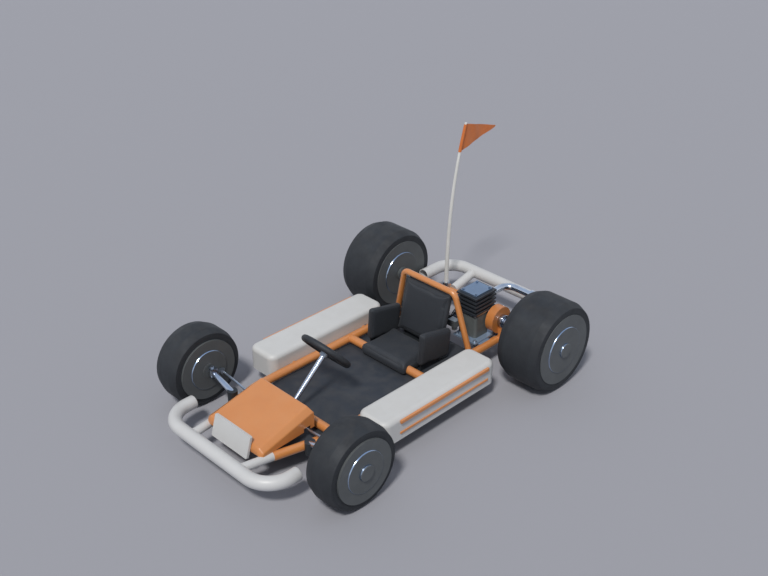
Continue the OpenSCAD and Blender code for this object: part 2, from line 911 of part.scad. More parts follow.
// Base cushion, grooved below where the seat crossmember passes
module seat_base_cushion() {
  c = [[-base_half, 0], [base_half, 0], [base_half, base_len], [-base_half, base_len]];
  color(PAD)
    difference() {
      translate([0, base_front_y, tray_top + seat_gap + base_t / 2])
        pad(c, base_t, cushion_crown);
      translate([-rail_half, base_front_y - base_len, 0])
        cube([2 * rail_half, 3 * base_len, tray_top + seat_gap]);
      cross_bar(seat_cross_y, tube_d + 2 * seat_gap);
      translate([-rail_half, seat_cross_y - tube_d / 2 - seat_gap, 0])
        cube([2 * rail_half, tube_d + 2 * seat_gap, frame_z]);
    }
}

module seat_back_cushion() {
  c = [[-back_half, 0], [back_half, 0], [back_half, back_h], [-back_half, back_h]];
  color(PAD)
    difference() {
      back_place()
        translate([0, back_t / 2, 0])
          rotate([90, 0, 0])
            pad(c, back_t, cushion_crown);
      back_place()
        translate([-rail_half, back_t, -back_h])
          cube([2 * rail_half, back_t, 3 * back_h]);
    }
}

// Side bolster: its outline stands in the side view and its slot takes the
// tray's upright
module seat_bolster() {
  front_back = 30.5;
  front_lean = 13.5;
  top_fall = 0.248;
  top_share = 0.97;
  foot_run = [bolster_len - 6, -24];
  slot_len = 156;
  crown = 1;
  front = [seat_cross_y + front_back, bolster_z];
  rise = [front_lean, bolster_h];
  back = [bolster_len, -top_fall * bolster_len];
  c = [front, front + foot_run, front + rise + back * top_share, front + rise];
  color(PAD)
    difference() {
      translate([base_half + seat_gap + bolster_t / 2, 0, 0])
        rotate([90, 0, 90])
          pad(c, bolster_t - 2 * crown, crown);
      translate([upright_x - seat_gap, seat_cross_y, 0])
        cube([tray_t + 2 * seat_gap, slot_len, upright_top + seat_gap]);
    }
}

module left_seat_bolster() { seat_bolster(); }

module right_seat_bolster() { mirror([1, 0, 0]) seat_bolster(); }

hoop_y = rear_y - hoop_ahead;

// Hoop behind the seat, its feet cut to the rails
module seat_hoop() {
  slant = norm([hoop_lean, hoop_h]);
  p = [[hoop_foot_half, 0], [hoop_top_half, slant], [-hoop_top_half, slant],
    [-hoop_foot_half, 0]];
  color(ORANGE)
    difference() {
      translate([0, hoop_y, frame_z])
        rotate([90 + atan(hoop_lean / hoop_h), 0, 0])
          bent_tube(p, hoop_r, hoop_d, hoop_wall);
      both_sides() rail_bar();
    }
}

column_y = front_y + column_back;
column_turn = 90 - column_tilt;
arm_t = 6;
arm_top = -44;
arm_bottom = arm_top - arm_t;
eye_gap = 3;
left_eye_at = arm_bottom - eye_gap - inner_eye_t / 2;
right_eye_at = left_eye_at - inner_eye_t - eye_gap;

// Frame of the steering column: Z along it and up, -Y on the arm's side
module at_column() {
  translate([0, column_y, column_z])
    rotate([-column_turn, 0, 0])
      children();
}
function column_point(y, z) = [0,
  column_y + y * cos(column_turn) + z * sin(column_turn),
  column_z - y * sin(column_turn) + z * cos(column_turn)];

// Sleeve that carries the column, saddled on the front crossmember
module column_support() {
  sleeve_d = column_d + 12;
  sleeve_low = -38;
  sleeve_high = 22;
  color(DARK)
    difference() {
      at_column()
        translate([0, 0, sleeve_low])
          cylinder(h = sleeve_high - sleeve_low, d = sleeve_d);
      at_column()
        translate([0, 0, sleeve_low - 1])
          cylinder(h = sleeve_high - sleeve_low + 2, d = column_d + 2 * running_gap);
      cross_bar(front_cross_y);
    }
}

boss_h = 22;
spider_t = 6;

// Steering column with the arm and the stud at its foot
module steering_column() {
  head_t = 3;
  stud_end = right_eye_at - inner_eye_t / 2 - eye_gap;
  color(CHROME)
    at_column() {
      translate([0, 0, arm_bottom])
        cylinder(h = column_len - spider_t - arm_bottom, d = column_d);
      translate([0, 0, arm_bottom]) {
        cylinder(h = arm_t, d = column_d + 6);
        translate([-stud_d, -pitman_r, 0]) cube([2 * stud_d, pitman_r, arm_t]);
        translate([0, -pitman_r, 0]) cylinder(h = arm_t, r = stud_d);
      }
      translate([0, -pitman_r, stud_end])
        cylinder(h = arm_bottom - stud_end + 1, d = stud_d);
      translate([0, -pitman_r, stud_end - head_t])
        cylinder(h = head_t, r = inner_eye_d / 2 - 2);
    }
}

module grip_ring() {
  translate([0, 0, column_len])
    rotate_extrude()
      translate([wheel_ring_r, 0])
        circle(d = wheel_grip_d);
}

module steering_wheel_grip() {
  color(PAD)
    at_column()
      grip_ring();
}

// Hub, spokes and the light boss under the steering wheel
module steering_wheel_spider() {
  hub_d = 52;
  spoke_w = 20;
  color(STEEL)
    at_column()
      difference() {
        union() {
          translate([0, 0, column_len - spider_t / 2])
            cylinder(h = spider_t, d = hub_d);
          for (i = [0 : spoke_n - 1])
            rotate([0, 0, 90 + 360 * i / spoke_n])
              translate([0, -spoke_w / 2, column_len - spider_t / 2])
                cube([wheel_ring_r, spoke_w, spider_t]);
          translate([0, 0, column_len - boss_h])
            cylinder(h = boss_h - 1, d = column_d + 14);
        }
        grip_ring();
        translate([0, 0, column_len - boss_h - 1])
          cylinder(h = boss_h + 1 - spider_t, d = column_d);
      }
}

outer_eye_at = [kingpin_half, front_y + knuckle_arm, outer_eye_z];
tie_rod_y = (column_point(inner_eye_set - pitman_r, left_eye_at)[1] + outer_eye_at[1]) / 2;

// Tie rod from its eye round the stud to its eye under the knuckle's arm
module tie_rod(eye_at) {
  outer_eye_t = 8;
  outer_eye_r = outer_pin_d / 2 + 5;
  inner = column_point(inner_eye_set - pitman_r, eye_at);
  along = unit(inner, outer_eye_at);
  color(STEEL)
    difference() {
      union() {
        at_column()
          translate([0, inner_eye_set - pitman_r, eye_at - inner_eye_t / 2])
            cylinder(h = inner_eye_t, d = inner_eye_d);
        rod(inner + along * (inner_eye_d / 2 - 2),
          outer_eye_at - along * (outer_eye_r - 2), tie_rod_d);
        translate(outer_eye_at - [0, 0, outer_eye_t / 2])
          cylinder(h = outer_eye_t, r = outer_eye_r);
      }
      at_column()
        translate([0, inner_eye_set - pitman_r, eye_at - inner_eye_t])
          cylinder(h = 2 * inner_eye_t, d = inner_eye_bore);
      translate(outer_eye_at - [0, 0, outer_eye_t])
        cylinder(h = 2 * outer_eye_t, d = outer_pin_d + 2 * running_gap);
    }
}

module left_tie_rod() { tie_rod(left_eye_at); }

module right_tie_rod() { mirror([1, 0, 0]) tie_rod(right_eye_at); }

front_hub_z = front_tyre_r;
lug_t = 6;
barrel_low = front_hub_z - barrel_h / 2;
barrel_high = front_hub_z + barrel_h / 2;
yoke_back_t = 6;
yoke_back_x = kingpin_half - barrel_r - 2 - yoke_back_t;
clamp_x = rail_half + 2;

// Axle beam out to the yoke that holds the kingpin
module front_axle_beams() {
  lug_low = barrel_low - seat_gap - lug_t;
  lug_high = barrel_high + seat_gap + lug_t;
  lean = (front_hub_z - beam_inner_z) / (kingpin_half - clamp_x);
  beam_z = beam_inner_z + lean * (yoke_back_x - clamp_x);
  color(CHROME)
    both_sides()
      difference() {
        union() {
          rod([clamp_x, front_y, beam_inner_z],
            [yoke_back_x + yoke_back_t / 2, front_y, beam_z], beam_d);
          translate([yoke_back_x, front_y - barrel_r, lug_low])
            cube([yoke_back_t, 2 * barrel_r, lug_high - lug_low]);
          for (z = [lug_low, lug_high - lug_t]) {
            translate([kingpin_half, front_y, z])
              cylinder(h = lug_t, r = barrel_r);
            translate([yoke_back_x, front_y - barrel_r, z])
              cube([kingpin_half - yoke_back_x, 2 * barrel_r, lug_t]);
          }
        }
        translate([kingpin_half, front_y, lug_low - 1])
          cylinder(h = lug_high - lug_low + 2, d = kingpin_d + 2 * running_gap);
        translate([yoke_back_x + yoke_back_t, front_y - beam_d, barrel_low - seat_gap])
          cube([2 * barrel_r + 4, 2 * beam_d, barrel_h + 2 * seat_gap]);
        translate([clamp_x, front_y, 0])
          cylinder(h = clamp_top, r = clamp_r);
      }
}

// Upright round clamps on the rails' outer sides
module axle_clamps() {
  clamp_low = frame_z - tube_d / 2 + 2;
  color(DARK)
    both_sides()
      difference() {
        translate([clamp_x, front_y, clamp_low])
          cylinder(h = clamp_top - clamp_low, r = clamp_r);
        rail_bar();
      }
}

// Kingpins with a head on top and a nut below
module kingpins() {
  head_t = 5;
  low = barrel_low - seat_gap - lug_t;
  high = barrel_high + seat_gap + lug_t;
  color(STEEL)
    both_sides()
      translate([kingpin_half, front_y, 0]) {
        translate([0, 0, low - head_t])
          cylinder(h = high - low + 2 * head_t, d = kingpin_d);
        for (z = [low - head_t, high])
          translate([0, 0, z])
            cylinder(h = head_t, d = kingpin_d + 6, $fn = 6);
      }
}

front_face = front_tyre_w / 2 + front_disc_proud;
front_wheel_x = front_tyre_out - front_tyre_w / 2;
rear_face = rear_tyre_w / 2 + rear_disc_proud;
rear_wheel_x = rear_tyre_out - rear_tyre_w / 2;
// Gap between pieces that are pressed or screwed together in one node
set_gap = 0.1;
bearing_w = 12;
bearing_r = 20;
nut_h = 6;

// Knuckle: barrel, stub axle with its end nut, steering arm and rod pin
module knuckle() {
  arm_half = 8;
  knuckle_arm_t = 6;
  pin_gap = 2.4;
  pin_head_t = 3;
  eye_low = outer_eye_z - 4;
  stub_end = front_wheel_x + front_face;
  color(STEEL)
    translate([kingpin_half, front_y, 0])
      difference() {
        union() {
          translate([0, 0, barrel_low]) cylinder(h = barrel_h, r = barrel_r);
          translate([0, 0, front_hub_z])
            rotate([0, 90, 0])
              cylinder(h = stub_end - kingpin_half, d = stub_d);
          translate([stub_end - kingpin_half, 0, front_hub_z])
            rotate([0, 90, 0]) {
              cylinder(h = nut_h, d = stub_d - 4);
              translate([0, 0, seat_gap])
                cylinder(h = nut_h - 2 * seat_gap, d = stub_d + 4, $fn = 6);
            }
          translate([-arm_half, 0, barrel_low])
            cube([2 * arm_half, knuckle_arm, knuckle_arm_t]);
          translate([0, knuckle_arm, barrel_low])
            cylinder(h = knuckle_arm_t, r = arm_half + 1);
          translate([0, knuckle_arm, eye_low - pin_gap - pin_head_t])
            cylinder(h = barrel_low - eye_low + pin_gap + pin_head_t + 1, d = outer_pin_d);
          translate([0, knuckle_arm, eye_low - pin_gap - pin_head_t])
            cylinder(h = pin_head_t, d = outer_pin_d + 5);
        }
        translate([0, 0, barrel_low - 1])
          cylinder(h = barrel_h + 2, d = kingpin_d + 2 * running_gap);
      }
}

module left_knuckle() { knuckle(); }

module right_knuckle() { mirror([1, 0, 0]) knuckle(); }

// Tyre section turned about the wheel's axis, open towards the rim
module tyre(r, w, shoulder_d, shoulder_w, bead_r) {
  half = w / 2;
  flat = half - shoulder_w;
  color(RUBBER)
    rotate_extrude($fn = 96)
      polygon([
        [bead_r, half], [bead_r, half - tyre_wall],
        [r - shoulder_d - tyre_wall, half - tyre_wall], [r - tyre_wall, flat],
        [r - tyre_wall, -flat], [r - shoulder_d - tyre_wall, tyre_wall - half],
        [bead_r, tyre_wall - half], [bead_r, -half],
        [r - shoulder_d, -half], [r, -flat], [r, flat], [r - shoulder_d, half]
      ]);
}

// Rim barrel, hub and outer disc in one piece, and the inner disc as a cover
module rim(disc_r, bead_r, w, proud, bore_r, inner_h) {
  half = w / 2;
  face = half + proud;
  disc_t = 8;
  step_r = disc_r * step_share;
  color(DISC) {
    rotate_extrude($fn = 96)
      polygon([
        [bore_r, -half], [hub_r, -half], [hub_r, face - disc_t],
        [bead_r - rim_wall, face - disc_t], [bead_r - rim_wall, -half],
        [bead_r, -half], [bead_r, half], [disc_r, half], [disc_r, face],
        [step_r, face], [step_r, face + step_h], [bore_r, face + step_h]
      ]);
    rotate_extrude($fn = 96)
      polygon([
        [bore_r, -half - set_gap], [disc_r, -half - set_gap],
        [disc_r, -face], [step_r, -face],
        [step_r, -face - step_h], [cap_r, -face - step_h],
        [cap_r, -face - inner_h], [bore_r, -face - inner_h]
      ]);
  }
}

// Domed cap over the outer end of a hub, with a hollow of radius r behind it
module hub_cap(face, r, deep) {
  chamfer = 2;
  seat = face + step_h + set_gap;
  color(STEEL)
    rotate_extrude($fn = 96)
      polygon([
        [r, seat], [cap_r, seat], [cap_r, face + cap_h - chamfer],
        [cap_r - chamfer, face + cap_h], [0, face + cap_h],
        [0, seat + deep], [r, seat + deep]
      ]);
}

module front_wheel_place() {
  translate([front_wheel_x, front_y, front_hub_z])
    rotate([0, 90, 0])
      children();
}

module front_tyre() {
  front_wheel_place()
    tyre(front_tyre_r, front_tyre_w, front_shoulder_d, front_shoulder_w, front_bead_r);
}

// Front rim with its two bearings pressed into the hub
module front_rim() {
  inner_boss_h = 5;
  pocket_out = front_face + step_h;
  pocket_in = -front_face - inner_boss_h;
  front_wheel_place() {
    difference() {
      rim(front_disc_r, front_bead_r, front_tyre_w, front_disc_proud,
        stub_d / 2 + 3, inner_boss_h);
      translate([0, 0, front_face - bearing_w])
        cylinder(h = bearing_w + step_h + 1, r = bearing_r);
      translate([0, 0, pocket_in - 1])
        cylinder(h = bearing_w + 1, r = bearing_r);
    }
    hub_cap(front_face, bearing_r, cap_h - step_h - 2);
    color(STEEL)
      for (z = [front_face - bearing_w + set_gap, pocket_in - set_gap])
        translate([0, 0, z])
          difference() {
            cylinder(h = bearing_w, r = bearing_r - running_gap);
            translate([0, 0, -1])
              cylinder(h = bearing_w + 2, d = stub_d + 2 * running_gap);
          }
  }
}

module front_left_tyre() { front_tyre(); }

module front_right_tyre() { mirror([1, 0, 0]) front_tyre(); }

module front_left_rim() { front_rim(); }

module front_right_rim() { mirror([1, 0, 0]) front_rim(); }

rear_hub_z = rear_tyre_r;

module rear_wheel_place() {
  translate([rear_wheel_x, rear_y, rear_hub_z])
    rotate([0, 90, 0])
      children();
}

module rear_tyres() {
  both_sides()
    rear_wheel_place()
      tyre(rear_tyre_r, rear_tyre_w, rear_shoulder_d, rear_shoulder_w, rear_bead_r);
}

module rear_rims() {
  both_sides()
    rear_wheel_place() {
      rim(rear_disc_r, rear_bead_r, rear_tyre_w, rear_disc_proud, axle_d / 2, cap_h);
      hub_cap(rear_face, 0, 0);
    }
}

// Live axle through both rear hubs
module rear_axle() {
  half = rear_wheel_x + rear_face + step_h;
  color(CHROME)
    rod([-half, rear_y, rear_hub_z], [half, rear_y, rear_hub_z], axle_d);
}

// Bearing carrier over each rail, its bearing a separate ring
module axle_carriers() {
  ring_r = axle_d / 2 + 6;
  housing_r = ring_r + 5;
  foot_w = 34;
  color(ORANGE)
    both_sides()
      difference() {
        union() {
          rod([carrier_in, rear_y, rear_hub_z],
            [carrier_in + carrier_w, rear_y, rear_hub_z], 2 * housing_r);
          translate([carrier_in, rear_y - foot_w / 2, frame_z])
            cube([carrier_w, foot_w, rear_hub_z - frame_z]);
        }
        rod([carrier_in - 1, rear_y, rear_hub_z],
          [carrier_in + carrier_w + 1, rear_y, rear_hub_z], 2 * ring_r);
        rail_bar();
      }
  color(STEEL)
    both_sides()
      difference() {
        rod([carrier_in, rear_y, rear_hub_z],
          [carrier_in + carrier_w, rear_y, rear_hub_z], 2 * ring_r);
        rod([carrier_in - 1, rear_y, rear_hub_z],
          [carrier_in + carrier_w + 1, rear_y, rear_hub_z],
          axle_d + 2 * running_gap);
      }
}

module on_axle(x) {
  translate([x, rear_y, rear_hub_z])
    rotate([0, 90, 0])
      children();
}

// Brake drum keyed to the axle, open on its outer side
module brake_drum() {
  drum_hub_r = axle_d / 2 + 8;
  drum_hub_w = drum_w - 12;
  color(ORANGE)
    on_axle(drum_in)
      rotate_extrude($fn = 96)
        polygon([
          [axle_d / 2, 0], [drum_r, 0], [drum_r, drum_w],
          [drum_r - drum_wall, drum_w], [drum_r - drum_wall, drum_wall],
          [drum_hub_r, drum_wall], [drum_hub_r, drum_hub_w],
          [axle_d / 2, drum_hub_w]
        ]);
}

// Backing plate on the left carrier, and the two shoes that stand on it
module brake_shoes() {
  back_in = drum_in + drum_w + 0.5;
  axle_hole_d = axle_d + 3;
  shoe_r = drum_r - drum_wall - shoe_gap;
  shoe_t = 9;
  shoe_w = drum_w - drum_wall - 6;
  shoe_arc = 150;
  color(ORANGE)
    difference() {
      rod([back_in, rear_y, rear_hub_z], [carrier_in, rear_y, rear_hub_z], 2 * drum_r);
      rod([back_in - 1, rear_y, rear_hub_z], [carrier_in + 1, rear_y, rear_hub_z],
        axle_hole_d);
    }
  color(DARK)
    for (from = [-shoe_arc / 2, 180 - shoe_arc / 2])
      on_axle(back_in - seat_gap - shoe_w)
        rotate([0, 0, from])
          rotate_extrude(angle = shoe_arc, $fn = 96)
            translate([shoe_r - shoe_t, 0])
              square([shoe_t, shoe_w]);
}

// Crankshaft, and how deep it runs
crank_back = 24;
crank_rise = 45;
crank_deep = 30;
crank_y = rear_y - block_front + crank_back;
crank_z = tube_top + mount_t + crank_rise;
function pitch_r(teeth) = chain_pitch / 2 / sin(180 / teeth);

// Toothed wheel of a chain drive
module sprocket(teeth, bore) {
  tooth_h = 3;
  flank = 0.35;
  r = pitch_r(teeth);
  step = 360 / teeth;
  difference() {
    linear_extrude(sprocket_w)
      polygon([for (i = [0 : teeth - 1]) each [
        (r - tooth_h) * [cos(i * step), sin(i * step)],
        (r + tooth_h) * [cos((i + flank) * step), sin((i + flank) * step)],
        (r + tooth_h) * [cos((i + 1 - flank) * step), sin((i + 1 - flank) * step)]
      ]]);
    if (bore > 0)
      translate([0, 0, -1]) cylinder(h = sprocket_w + 2, d = bore);
  }
}

module axle_sprocket() {
  carrier_d = axle_d + 22;
  carrier_end = chain_x + sprocket_w / 2 + 14;
  color(DARK) {
    on_axle(chain_x - sprocket_w / 2) sprocket(axle_teeth, axle_d);
    difference() {
      rod([chain_x + sprocket_w / 2, rear_y, rear_hub_z],
        [carrier_end, rear_y, rear_hub_z], carrier_d);
      rod([chain_x, rear_y, rear_hub_z], [carrier_end + 1, rear_y, rear_hub_z], axle_d);
    }
  }
}

// Engine sprocket with the crankshaft end that runs in the block
module engine_sprocket() {
  color(STEEL) {
    translate([chain_x - sprocket_w / 2, crank_y, crank_z])
      rotate([0, 90, 0])
        sprocket(engine_teeth, 0);
    rod([chain_x + sprocket_w / 2, crank_y, crank_z], [block_in + crank_deep, crank_y, crank_z],
      crank_d);
  }
}

module loop_outline(r1, r2, span) {
  hull() {
    circle(r = r1);
    translate([span, 0]) circle(r = r2);
  }
}

// Chain as one closed band that clears the teeth
module drive_chain() {
  clear = 3.8;
  band = 4;
  chain_w = 10;
  span = norm([crank_y - rear_y, crank_z - rear_hub_z]);
  r1 = pitch_r(axle_teeth) + clear;
  r2 = pitch_r(engine_teeth) + clear;
  color("#6a6f74")
    translate([chain_x - chain_w / 2, rear_y, rear_hub_z])
      rotate([90, 0, 90])
        rotate([0, 0, atan2(crank_z - rear_hub_z, crank_y - rear_y)])
          linear_extrude(chain_w)
            difference() {
              loop_outline(r1 + band, r2 + band, span);
              loop_outline(r1, r2, span);
            }
}

// Reach of the clamps below the rails' middle
clamp_drop = 8;
block_front_y = rear_y - block_front;
block_low = tube_top + mount_t;
block_out = block_in + block_w;
mount_ahead = 28;
mount_front_y = block_front_y - mount_ahead;
mount_len = 197;
fin_low = block_low + block_h;

// Engine plate with the clamp block that grips the left rail
module engine_mount() {
  mount_out = rail_half - 15;
  clamp_len = 60;
  clamp_end = 20;
  clamp_in = 40;
  clamp_w = 36;
  color(PLATE_BLUE)
    difference() {
      union() {
        translate([block_in, mount_front_y, tube_top])
          cube([mount_out - block_in, mount_len, mount_t]);
        for (y = [clamp_end, mount_len - clamp_end - clamp_len])
          translate([rail_half - clamp_in, mount_front_y + y, frame_z - clamp_drop])
            cube([clamp_w, clamp_len, tube_top - frame_z + clamp_drop + overlap]);
      }
      rail_bar();
    }
}

// Block with rounded corners, under the flange that carries the cylinder
module engine_block() {
  corner_r = 12;
  flange_t = 5;
  flange_edge = 3;
  flange_w = block_w + 4;
  flange_len = block_len + 42;
  color("#4a4e4e")
    difference() {
      union() {
        translate([block_in, block_front_y, block_low])
          round_slab(block_w, block_len, block_h - flange_t, corner_r);
        translate([block_in - flange_edge, block_front_y - flange_edge, fin_low - flange_t])
          cube([flange_w, flange_len, flange_t]);
      }
      rod([block_in - 1, crank_y, crank_z], [block_in + crank_deep + 1, crank_y, crank_z],
        crank_d + 2 * running_gap);
    }
}

core_front_y = block_front_y + 4;
core_len = 104;
core_in = block_in + 5;
plug_seat = 2;
plug_y = core_front_y + core_len / 2;
plug_share = 0.6;
plug_z = fin_low + fin_stack_h * plug_share;

// Finned cylinder, notched on its inner side for the spark plug
module cooling_fins() {
  fin_in = block_in - 7;
  fin_w = block_w + 11;
  fin_front_y = block_front_y - 8.5;
  fin_len = 128;
  core_w = block_w - 14;
  notch_d = 28;
  pitch = (fin_stack_h - fin_t) / (fin_n - 1);
  color("#1d1f22")
    difference() {
      union() {
        translate([core_in, core_front_y, fin_low])
          cube([core_w, core_len, fin_stack_h]);
        for (i = [0 : fin_n - 1])
          translate([fin_in, fin_front_y, fin_low + i * pitch])
            cube([fin_w, fin_len, fin_t]);
      }
      rod([fin_in - 1, plug_y, plug_z], [core_in + plug_seat, plug_y, plug_z], notch_d);
    }
}

module spark_plug() {
  body_end = block_in - 3;
  tip_end = block_in - 24;
  body_d = 16;
  tip_d = 10;
  color(WHITE) {
    rod([body_end, plug_y, plug_z], [core_in + plug_seat, plug_y, plug_z], body_d);
    rod([tip_end, plug_y, plug_z], [body_end, plug_y, plug_z], tip_d);
  }
}

// Head plate with a bolt near each corner
module cylinder_head() {
  head_t = 8;
  bolt_in = 9;
  bolt_h = 5;
  bolt_d = 11;
  x0 = block_in + 3;
  x1 = block_out - 7;
  y0 = block_front_y + 4;
  y1 = y0 + 102;
  z = fin_low + fin_stack_h;
  color(PLATE_BLUE)
    translate([x0, y0, z])
      cube([x1 - x0, y1 - y0, head_t]);
  color(STEEL)
    for (x = [x0 + bolt_in, x1 - bolt_in])
      for (y = [y0 + bolt_in, y1 - bolt_in])
        translate([x, y, z + head_t + set_gap])
          cylinder(h = bolt_h, d = bolt_d, $fn = 6);
}

carb_half = 15;
carb_neck = 10;
carb_x = block_in + 10;
carb_y = block_front_y - 32;
carb_z = block_low + 56;

// Carburettor ahead of the block, on a short intake stub
module carburettor() {
  bowl_h = 15;
  bowl_r = 12;
  stub_pipe_d = 16;
  color("#8e9496") {
    translate([carb_x - carb_half - carb_neck, carb_y - carb_half, carb_z - carb_half])
      cube([2 * carb_half + carb_neck, 2 * carb_half, 2 * carb_half]);
    translate([carb_x, carb_y, carb_z - carb_half - bowl_h])
      cylinder(h = bowl_h, r = bowl_r);
    rod([carb_x, carb_y + carb_half, carb_z], [carb_x, block_front_y, carb_z], stub_pipe_d);
  }
}

module air_filter() {
  filter_d = 40;
  filter_len = 35;
  filter_start = carb_x - carb_half - carb_neck;
  color(DARK)
    rod([filter_start - filter_len, carb_y, carb_z], [filter_start, carb_y, carb_z], filter_d);
}

// Fuel tank with its cap, on a tray that the right rail carries
module fuel_tank() {
  x0 = -165;
  tank_w = 112;
  y0 = hoop_y + 24;
  tank_len = 92;
  tank_h = 76;
  round_r = 14;
  lid_h = 14;
  lid_d = 36;
  tray_h = 3;
  saddle_in = 4;
  saddle_w = 30;
  z = tube_top + seat_gap + tray_h;
  color(RUBBER) {
    translate([x0, y0, z + seat_gap])
      round_slab(tank_w, tank_len, tank_h, round_r);
    translate([x0 + tank_w / 2, y0 + tank_len / 2, z + tank_h + 2 * seat_gap])
      cylinder(h = lid_h, d = lid_d);
  }
  color(DARK)
    difference() {
      union() {
        translate([-rail_half, y0, tube_top + seat_gap])
          cube([rail_half + x0 + tank_w, tank_len, tray_h]);
        translate([-rail_half + saddle_in, y0, frame_z - clamp_drop])
          cube([saddle_w, tank_len, tube_top + seat_gap - frame_z + clamp_drop + overlap]);
      }
      mirror([1, 0, 0]) rail_bar();
    }
}

// Exhaust: flange on the cylinder, a bent pipe across the rear, a silencer
module exhaust_pipe() {
  port_x = block_in + 38;
  port_y = core_front_y + core_len;
  silencer_d = 44;
  silencer_x = 252;
  silencer_len = 83;
  pipe_wall = 2;
  p = [[port_x, port_y], [port_x, rear_y + exhaust_back], [silencer_x, rear_y + exhaust_back]];
  color(CHROME)
    translate([0, 0, exhaust_z]) {
      difference() {
        bent_tube(p, exhaust_r, exhaust_d, pipe_wall);
        translate([0, 0, -exhaust_z]) cooling_fins();
      }
      difference() {
        rod([silencer_x, rear_y + exhaust_back, 0],
          [silencer_x + silencer_len, rear_y + exhaust_back, 0], silencer_d);
        rod([silencer_x - 1, rear_y + exhaust_back, 0],
          [silencer_x + silencer_len + 1, rear_y + exhaust_back, 0],
          exhaust_d - 2 * pipe_wall);
      }
    }
}

pivot_y = front_y - pedal_ahead;
pivot_z = pan_top + pedal_pivot_h;
lug_half = 14;
lug_w = 4;

// Foot plates with the lugs and the pins that the pedals turn on
module pedal_brackets() {
  foot_half = 24;
  foot_deep = 16;
  foot_t = 2.5;
  lug_r = 8;
  color(DARK)
    both_sides()
      translate([pedal_half, pivot_y, 0]) {
        translate([-foot_half, -foot_deep, pan_top])
          cube([2 * foot_half, 2 * foot_deep, foot_t]);
        for (x = [-lug_half - lug_w, lug_half]) {
          translate([x, -lug_r, pan_top]) cube([lug_w, 2 * lug_r, pedal_pivot_h]);
          translate([x, 0, pivot_z])
            rotate([0, 90, 0]) cylinder(h = lug_w, r = lug_r);
        }
        translate([-lug_half, 0, pivot_z])
          rotate([0, 90, 0]) cylinder(h = 2 * lug_half, d = pedal_pin_d);
      }
}

// Pedal: hub on its pin, a flat lever and a wide pad facing the driver
module pedal(tint) {
  hub_half = lug_half - 0.5;
  hub_d = pedal_pin_d + 7;
  lever_t = 6;
  pad_t = 8;
  lever_half = 8;
  pad_h = 30;
  color(tint)
    translate([pedal_half, pivot_y, pivot_z])
      rotate([-pedal_lean, 0, 0])
        difference() {
          union() {
            rod([-hub_half, 0, 0], [hub_half, 0, 0], hub_d);
            translate([-lever_half, -lever_t / 2, 0])
              cube([2 * lever_half, lever_t, pedal_len]);
            translate([-pedal_w / 2, -lever_t / 2, pedal_len - pad_h])
              cube([pedal_w, pad_t, pad_h]);
          }
          rod([-hub_half - 1, 0, 0], [hub_half + 1, 0, 0],
            pedal_pin_d + 2 * running_gap);
        }
}

module brake_pedal() { pedal(ORANGE); }

module throttle_pedal() { mirror([1, 0, 0]) pedal(STEEL); }

// Swept, tapering pole as one closed skin of rings
module flag_pole() {
  sides = 12;
  rings = 22;
  heights = [for (k = [0 : rings]) pole_foot_z + (pole_top - pole_foot_z) * k / rings];
  points = [for (z = heights) for (i = [0 : sides - 1]) let (a = 360 * i / sides)
    [pole_radius(z) * cos(a), pole_radius(z) * sin(a) + pole_y_shift(z), z]];
  faces = concat(
    [[for (i = [0 : sides - 1]) i]],
    [for (k = [0 : rings - 1]) for (i = [0 : sides - 1]) let (
      a = k * sides + i,
      b = k * sides + (i + 1) % sides
    ) each [[a, a + sides, b + sides], [a, b + sides, b]]],
    [[for (i = [sides - 1 : -1 : 0]) rings * sides + i]]
  );
  color("#e2ddcf")
    translate([-flag_x, rear_y + flag_back, 0])
      polyhedron(points, faces);
}

// Pennant: a thin waving skin that narrows to a blunt tip
module flag_pennant() {
  across = 5;
  along = 20;
  waves = 1.4;
  tip_share = 0.05;
  function edge(s) = 1 - (1 - tip_share) * s;
  function half_z(s, v) = pennant_mid_z + (v - 0.5) * pennant_hoist * edge(s);
  function y_at(s, v) = (1 - s) * hoist_shift(half_z(0, v))
    + s * (hoist_shift(pennant_mid_z) + pennant_len);
  function x_at(s) = pennant_wave * sin(360 * waves * s) * s;
  function skin(off) = [for (i = [0 : along]) for (j = [0 : across])
    [x_at(i / along) + off, y_at(i / along, j / across), half_z(i / along, j / across)]];
  row = across + 1;
  count = row * (along + 1);
  function quad(a, b, c, d) = [[a, b, c], [a, c, d]];
  faces = concat(
    [for (i = [0 : along - 1]) for (j = [0 : across - 1]) let (a = i * row + j)
      each quad(a, a + 1, a + row + 1, a + row)],
    [for (i = [0 : along - 1]) for (j = [0 : across - 1]) let (a = count + i * row + j)
      each quad(a, a + row, a + row + 1, a + 1)],
    [for (i = [0 : along - 1]) let (a = i * row)
      each quad(a, a + row, a + row + count, a + count)],
    [for (i = [0 : along - 1]) let (a = i * row + across)
      each quad(a, a + count, a + row + count, a + row)],
    [for (j = [0 : across - 1]) each quad(j, j + count, j + 1 + count, j + 1)],
    [for (j = [0 : across - 1]) let (a = along * row + j)
      each quad(a, a + 1, a + 1 + count, a + count)]
  );
  color(ORANGE)
    translate([-flag_x, rear_y + flag_back, 0])
      polyhedron(concat(skin(-pennant_t / 2), skin(pennant_t / 2)), faces);
}

